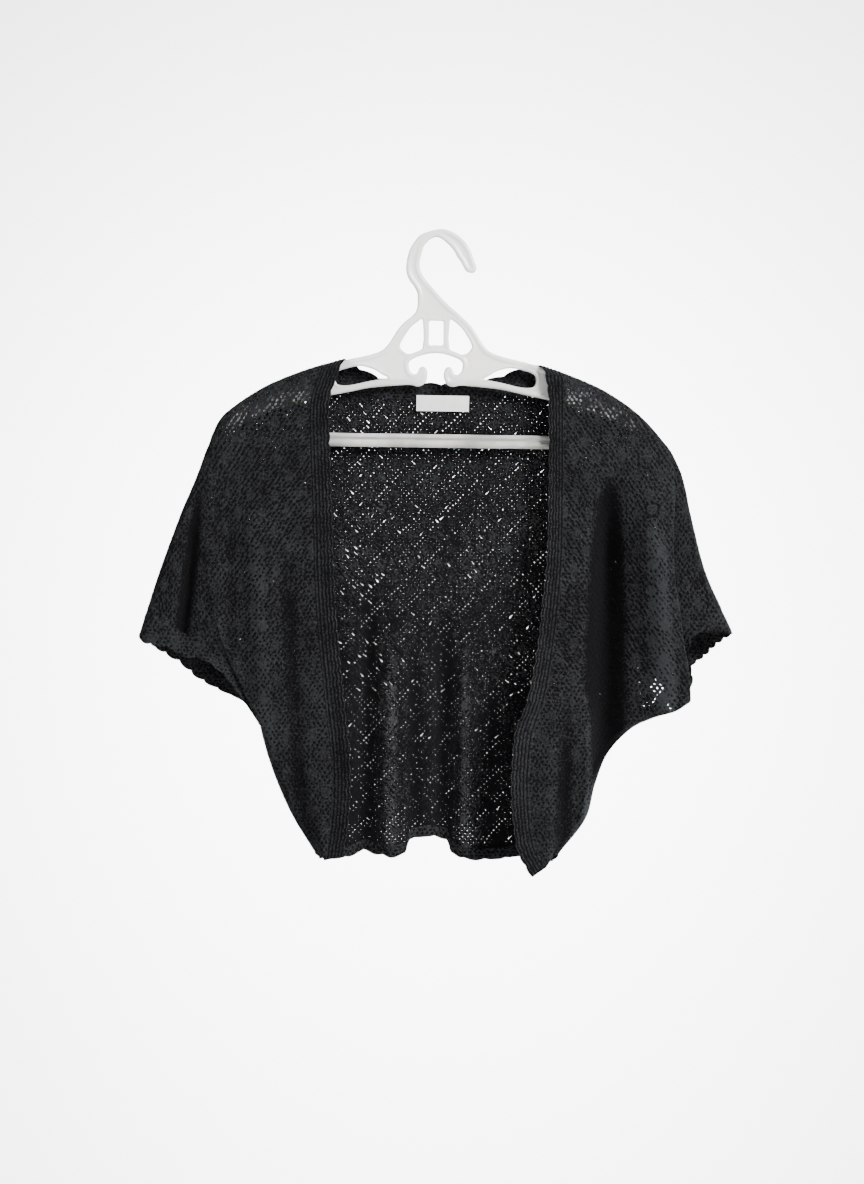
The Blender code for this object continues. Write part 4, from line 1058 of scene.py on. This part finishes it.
def strip_points(pairs, closed=False):
    """A fine grid across a strip, which laps a little under the panel that it is sewn to."""
    array = as_array(pairs)
    if closed:
        array = array.transpose(1, 0, 2)
        array = np.concatenate([array, array[:1]], axis=0)
    reach = array[:, 1] - array[:, 0]
    width = np.linalg.norm(reach, axis=1)
    array[:, 0] -= reach * SEAM_LAP / width[:, None]
    marks, length = knots(array)
    along = np.linspace(0.0, length, int(round(length / STRIP_STEP)) + 1)
    sides = [np.stack([np.interp(along, marks, array[:, side, axis]) for axis in range(3)], axis=1)
             for side in (0, 1)]
    steps = max(int(round((width.mean() + SEAM_LAP) / STRIP_CELL)), 2)
    s = np.linspace(0.0, 1.0, steps + 1)[None, :, None]
    points = sides[0][:, None] * (1 - s) + sides[1][:, None] * s
    return points[:-1].transpose(1, 0, 2) if closed else points


def ribbed(node, pairs, made):
    """A front band: fine ribs along it with stitches across, a beaded edge, and painted shade between the
    ribs and stitches.
    """
    points = strip_points(pairs)
    rows, columns = points.shape[:2]
    place = (columns - 1 - np.arange(columns))[None, :] * STRIP_CELL
    stitch = np.cos(math.pi * np.arange(rows) * STRIP_STEP / STITCH_PITCH)[:, None]
    ribs = np.cos(2 * math.pi * place / RIB_PITCH)
    lift = RIB_HEIGHT * ribs + STITCH_LIFT * stitch * (ribs > 0)
    lift += RIB_UNEVEN * np.random.default_rng(SEEDS[node]).standard_normal((rows, columns))
    # Painted shade in the valleys between the ribs, and in rows between the stitches that cross them
    shade = clipped(RIB_SHADE_BASE - ribs * RIB_SHADE)
    shade = clipped(shade * (STITCH_SHADE_BASE + STITCH_SHADE * stitch * (ribs > STITCH_DEPTH)))
    points = points + normals_of(points, False) * lift[..., None]
    kept = np.ones((rows - 1, columns - 1), dtype=bool)
    return grid_object(node + "_knit", points * MM, kept, False, made, shade)


def put(name, data):
    """A new object in the scene."""
    thing = bpy.data.objects.new(name, data)
    bpy.context.scene.collection.objects.link(thing)
    return thing


class Look:
    """A new material on Blender's main shader, with short calls for its nodes."""

    def __init__(self, name, finish):
        self.made = bpy.data.materials.new(name)
        self.made.use_nodes = True
        self.nodes, self.links = self.made.node_tree.nodes, self.made.node_tree.links
        self.sockets = self.nodes["Principled BSDF"].inputs
        for title, value in finish.items():
            self.sockets[title].default_value = value

    def place(self):
        return self.node("TexCoord", "Object", {})

    def feed(self, socket, value):
        """Links an output to a socket, or sets the socket's own value."""
        if isinstance(value, bpy.types.NodeSocket):
            self.links.new(value, socket)
        else:
            socket.default_value = value

    def node(self, kind, output, inputs, **settings):
        """Adds a node with its settings and inputs, and gives one of its outputs."""
        added = self.nodes.new("ShaderNode" + kind)
        for title, value in settings.items():
            setattr(added, title, value)
        for title, value in inputs.items():
            self.feed(added.inputs[title], value)
        return added.outputs[output]

    def noise(self, scale, detail=3.0):
        return self.node("TexNoise", "Fac", {"Vector": self.place(), "Scale": scale, "Detail": detail})

    def attribute(self, title):
        return self.node("Attribute", "Fac", {}, attribute_name=title)

    def axis(self, letter):
        return self.node("SeparateXYZ", letter, {"Vector": self.place()})

    def calc(self, operation, *values):
        return self.node("Math", "Value", dict(enumerate(values)), operation=operation)

    def weighed(self, first, first_share, second, second_share):
        """The sum of two values, each times its share."""
        return self.calc("ADD", self.calc("MULTIPLY", first, first_share),
                         self.calc("MULTIPLY", second, second_share))

    def wave(self, value, pitch):
        """A sine wave that repeats at a pitch in metres."""
        return self.calc("SINE", self.calc("MULTIPLY", value, 2 * math.pi / pitch))

    def paint(self, value, stops):
        """The base colour by a value, blended between stops: place from 0 to 1, and colour."""
        added = self.nodes.new("ShaderNodeValToRGB")
        ramp = added.color_ramp.elements
        ramp[0].position, ramp[1].position = stops[0][0], stops[-1][0]
        ramp[0].color, ramp[1].color = (*stops[0][1], 1.0), (*stops[-1][1], 1.0)
        for place, color in stops[1:-1]:
            ramp.new(place).color = (*color, 1.0)
        self.feed(added.inputs["Fac"], value)
        self.feed(self.sockets["Base Color"], added.outputs["Color"])

    def relief(self, height, distance, strength=1.0):
        """A bump as deep as a distance in metres."""
        inputs = {"Strength": strength, "Distance": distance, "Height": height}
        self.feed(self.sockets["Normal"], self.node("Bump", "Normal", inputs))


def knit_material():
    """Fine charcoal yarn: uneven dye, small stitches and a soft fuzz that catches the light, with painted
    shade in its eyelets, pits and fold hollows and painted light on its fold ridges.
    """
    look = Look("charcoal_knit", KNIT_FINISH)
    grain = look.noise(KNIT_GRAIN)
    tone = look.weighed(grain, GRAIN_SHARE, look.noise(KNIT_DYE), DYE_SHARE)
    # Painted shade of the eyelets, pits and fold hollows, and painted light on fold ridges, taken off the
    # yarn's tone
    dark = look.weighed(look.attribute("shade"), PIT_SHADE, look.attribute("hollow"), HOLLOW_SHADE)
    look.paint(look.calc("SUBTRACT", tone, dark), KNIT_RAMP)
    wale, course = look.wave(look.axis("X"), STITCH_WIDTH), look.wave(look.axis("Z"), STITCH_HEIGHT)
    stitch = look.calc("MULTIPLY", look.calc("MULTIPLY", wale, course), STITCH_SHARE)
    look.relief(look.calc("ADD", stitch, grain), KNIT_RELIEF)
    return look.made


def plastic_material():
    """Moulded ivory plastic: half gloss, a little light through it, faint flow marks.

    Its bar is greyer with painted shade, where the dark cloth behind shades it and shows through it.
    """
    look = Look("ivory_plastic", PLASTIC_FINISH)
    # The base colour is the flow marks' tone less the painted shade on the bar
    look.paint(look.calc("SUBTRACT", look.noise(PLASTIC_FLOW), look.attribute("painted_bar_shade")), PLASTIC_RAMP)
    look.relief(look.noise(PLASTIC_GRAIN), PLASTIC_RELIEF, PLASTIC_BUMP)
    return look.made


def label_material():
    """White woven tape with a fine twill."""
    look = Look("label_weave", LABEL_FINISH)
    look.paint(look.noise(LABEL_TONE, LABEL_DETAIL), LABEL_RAMP)
    twill = look.wave(look.calc("ADD", look.axis("X"), look.axis("Z")), TWILL_PITCH)
    look.relief(twill, LABEL_RELIEF, LABEL_BUMP)
    return look.made


def inset(loop, distance):
    """A closed outline moved towards its inside."""
    points = [Vector(point) for point in loop]
    turn = sum(a.x * b.y - b.x * a.y for a, b in zip(points, points[1:] + points[:1]))
    moved = []
    for before, place, after in zip(points[-1:] + points, points, points[1:] + points[:1]):
        run = (after - before).normalized()
        side = Vector((-run.y, run.x)) * math.copysign(1.0, turn)
        moved.append(tuple(place + side * distance))
    return moved


def smooth_loop(loop, steps):
    """A closed outline rounded through its points."""
    points = [Vector(point) for point in loop]
    count = len(points)
    rounded = []
    for i in range(count):
        before, a, b, after = (points[(i + k) % count] for k in (-1, 0, 1, 2))
        bend, twist = 2 * before - 5 * a + 4 * b - after, 3 * a - before - 3 * b + after
        for k in range(steps):
            s = k / steps
            rounded.append(tuple(0.5 * (2 * a + (b - before) * s + bend * s**2 + twist * s**3)))
    return rounded


def outline_curve(name, loops, kind):
    """A curve of closed outlines in the hanger's plane."""
    curve = bpy.data.curves.new(name, "CURVE")
    curve.dimensions = kind
    for loop in loops:
        line = curve.splines.new("POLY")
        line.points.add(len(loop) - 1)
        for point, (x, z) in zip(line.points, loop):
            point.co = (x * MM, z * MM, 0.0, 1.0)
        line.use_cyclic_u = True
    return curve


def plate(name, loops, thickness):
    """A flat moulded plate from outlines in the hanger's plane."""
    curve = outline_curve(name, loops, "2D")
    curve.fill_mode = "BOTH"
    curve.extrude = thickness / 2 * MM
    return curve_mesh(name, curve)


def rim(name, loops, radius):
    """A round bead along outlines in the hanger's plane."""
    curve = outline_curve(name, loops, "3D")
    curve.bevel_depth = radius * MM
    curve.bevel_resolution = 3
    return curve_mesh(name, curve)


def curve_mesh(name, curve):
    """A curve's mesh, turned upright into the hanger's place."""
    holder = put(name, curve)
    holder.rotation_euler = (math.pi / 2, HANGER_ROLL, 0.0)
    bpy.context.view_layer.update()
    shown = holder.evaluated_get(bpy.context.evaluated_depsgraph_get())
    mesh = bpy.data.meshes.new_from_object(shown)
    mesh.transform(holder.matrix_world)
    bpy.data.objects.remove(holder)
    return put(name, mesh)


def mirrored(loop):
    return [(-x, z) for x, z in reversed(loop)]


def hanger_outline():
    """The moulding's whole outline: the hook, the middle with its two curls, and both arms."""
    line = [Vector(row) for row in SHOULDER]
    arm_top = []
    for before, place, after in zip(line[:1] + line, line, line[1:]):
        run = (after - before).normalized()
        arm_top.append(tuple(place + Vector((run.y, -run.x)) * ARM_CLEARANCE))
    half = list(MIDDLE_SIDE) + arm_top + list(ARM_END + CURL)
    return half + mirrored(half[:-1]) + list(HOOK)


def bar_loop(top, height):
    """A long narrow loop along the bar, with its ends sunk a little into the arms."""
    reach = BAR_HALF_LENGTH + BAR_SINK
    return [(-reach, top), (reach, top), (reach, top - height), (-reach, top - height)]


def hanger(made):
    """The hanger as one moulding: thin plates with beaded edges, fused and smoothed."""
    outline, side, arm = (smooth_loop(loop, LOOP_STEPS)
                          for loop in (hanger_outline(), SIDE_WINDOW, ARM_WINDOW))
    windows = [list(MIDDLE_WINDOW), side, mirrored(side), arm, mirrored(arm)]
    foot = BAR_TOP - BAR_DEPTH
    (upper_in, upper_height, upper_radius), (lower_in, lower_height, lower_radius) = UPPER_BEAD, LOWER_BEAD
    pieces = [
        plate("body_plate", [outline] + windows, PLATE_THICK),
        plate("bar_plate", [bar_loop(BAR_TOP, BAR_DEPTH)], BAR_THICK),
        rim("outline_bead", [inset(outline, OUTLINE_BEAD[0])], OUTLINE_BEAD[1]),
        rim("window_beads", [inset(loop, WINDOW_BEAD[0]) for loop in windows], WINDOW_BEAD[1]),
        rim("bar_upper_bead", [bar_loop(BAR_TOP - upper_in, upper_height)], upper_radius),
        rim("bar_lower_bead", [bar_loop(foot + lower_in, lower_height)], lower_radius),
    ]
    body = pieces[0]
    bpy.ops.object.select_all(action="DESELECT")
    for piece in pieces:
        piece.select_set(True)
    bpy.context.view_layer.objects.active = body
    bpy.ops.object.join()
    body.name = "hanger"
    remesh = body.modifiers.new("Fuse", "REMESH")
    remesh.mode = "VOXEL"
    remesh.voxel_size = VOXEL * MM
    soften = body.modifiers.new("Soften", "SMOOTH")
    soften.factor, soften.iterations = SOFTEN_SHARE, SOFTEN_ROUNDS
    shown = body.evaluated_get(bpy.context.evaluated_depsgraph_get())
    mesh = bpy.data.meshes.new_from_object(shown)
    body.modifiers.clear()
    body.data = mesh
    mesh.materials.clear()
    mesh.materials.append(made)
    mesh.shade_smooth()
    shade_bar(mesh, foot)
    return body


def shade_bar(mesh, foot):
    """Paints shade on the bar, where the dark cloth behind shades it and shows through the plastic, deepest
    in its groove.
    """
    x, z = (np.array([vertex.co[axis] for vertex in mesh.vertices]) / MM for axis in (0, 2))
    on_bar = (np.abs(x) < BAR_HALF_LENGTH) & (z < BAR_TOP + BAR_ABOVE) & (z > foot - BAR_BELOW)
    height = x * math.sin(HANGER_ROLL) + z * math.cos(HANGER_ROLL)
    groove = on_bar & (np.abs(height - BAR_TOP + GROOVE_DROP) < GROOVE_HALF)
    # Painted shade: full in the groove, a share of it on the rest of the bar
    painted_bar_shade = np.where(groove, 1.0, np.where(on_bar, BAR_SHADE_SHARE, 0.0)).astype(np.float32)
    mesh.attributes.new("painted_bar_shade", "FLOAT", "POINT").data.foreach_set("value", painted_bar_shade)


def label_sheet(made):
    """The plain woven label, a little bowed, sewn on at its two ends."""
    points = []
    for v in np.linspace(-0.5, 0.5, LABEL_ROWS):
        row = []
        for k in np.linspace(-0.5, 0.5, LABEL_COLUMNS):
            across, up = k * LABEL_WIDTH, v * LABEL_HEIGHT
            x = LABEL_X + across * math.cos(LABEL_TILT) - up * math.sin(LABEL_TILT)
            z = LABEL_Z + across * math.sin(LABEL_TILT) + up * math.cos(LABEL_TILT)
            bow = LABEL_BOW * math.cos(math.pi * k) * (1 + LABEL_RIPPLE * math.sin(RIPPLE_TURN * v))
            row.append((x, layer(z, "back_middle") - LABEL_CLEAR - bow, z))
        points.append(row)
    kept = np.ones((LABEL_ROWS - 1, LABEL_COLUMNS - 1), dtype=bool)
    return grid_object("label_tape", np.array(points) * MM, kept, False, made)


def wear(piece, nodes):
    """Puts a piece in the place of CAD nodes, on the one body."""
    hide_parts(*nodes)
    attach(piece, "root")


def garment(made):
    """All the knit pieces by the node that each stands for."""
    back = back_panel()
    pieces = {
        "back": knitted("back", fine(back, BACK_CELL), made, net=BACK_NET, dim=BACK_DIM),
        "band_neck": knitted("band_neck", strip_points(neck_band(back)), made, holes=False),
        "band_hem": knitted("band_hem", strip_points(hem_band(back)), made, holes=False),
    }
    for side in ("right", "left"):
        panel, sleeve = front_panel(side), sleeve_rings(side)
        front, band, tube, cuff = (kind + "_" + side for kind in ("front", "band", "sleeve", "cuff"))
        pieces[front] = knitted(front, fine(panel, FRONT_CELL), made, fade=FRONT_FADE)
        pieces[band] = ribbed(band, front_band(side, panel), made)
        pieces[tube] = knitted(tube, fine(sleeve, SLEEVE_CELL, True), made, True)
        pieces[cuff] = knitted(cuff, strip_points(cuff_rings(side, sleeve), True), made, True, holes=False)
    return pieces


def area_light(name, place, target, size, power):
    light = bpy.data.lights.new(name, "AREA")
    light.shape = "RECTANGLE"
    light.size, light.size_y = size, size
    light.energy = power
    thing = put(name, light)
    thing.location = place
    thing.rotation_euler = (Vector(target) - Vector(place)).to_track_quat("-Z", "Y").to_euler()


def stage():
    """A pale floor far below, a pale wall far behind, soft light and the photograph's camera."""
    made = Look("pale_stage", STAGE_FINISH).made
    for name, place, turn in (("floor", (0.0, 0.0, FLOOR_Z), (0.0, 0.0, 0.0)),
                              ("wall", (0.0, WALL_Y, 0.0), (math.pi / 2, 0.0, 0.0))):
        bpy.ops.mesh.primitive_plane_add(size=STAGE_SIZE, location=place, rotation=turn)
        plane = bpy.context.active_object
        plane.name = name
        plane.data.materials.append(made)
    world = bpy.data.worlds.new("pale_world")
    world.use_nodes = True
    background = world.node_tree.nodes["Background"].inputs
    background["Color"].default_value = WORLD_COLOR
    background["Strength"].default_value = WORLD_STRENGTH
    bpy.context.scene.world = world
    for light in LIGHTS:
        area_light(*light)
    camera = bpy.data.cameras.new("camera")
    camera.lens = CAMERA_LENS
    camera.sensor_fit = "VERTICAL"
    camera.sensor_height = SENSOR
    camera.clip_end = CAMERA_REACH
    thing = put("camera", camera)
    thing.location = (CAMERA_X, -CAMERA_DISTANCE, CAMERA_Z)
    thing.rotation_euler = (math.pi / 2, 0.0, 0.0)
    bpy.context.scene.camera = thing


def main():
    stage()
    for node, piece in garment(knit_material()).items():
        wear(piece, [node])
    tape = label_sheet(label_material())
    wear(tape, ["label"])
    hanger_piece = hanger(plastic_material())
    wear(hanger_piece, ["hanger_hook", "hanger_middle", "hanger_arm_left", "hanger_arm_right", "hanger_bar"])


main()
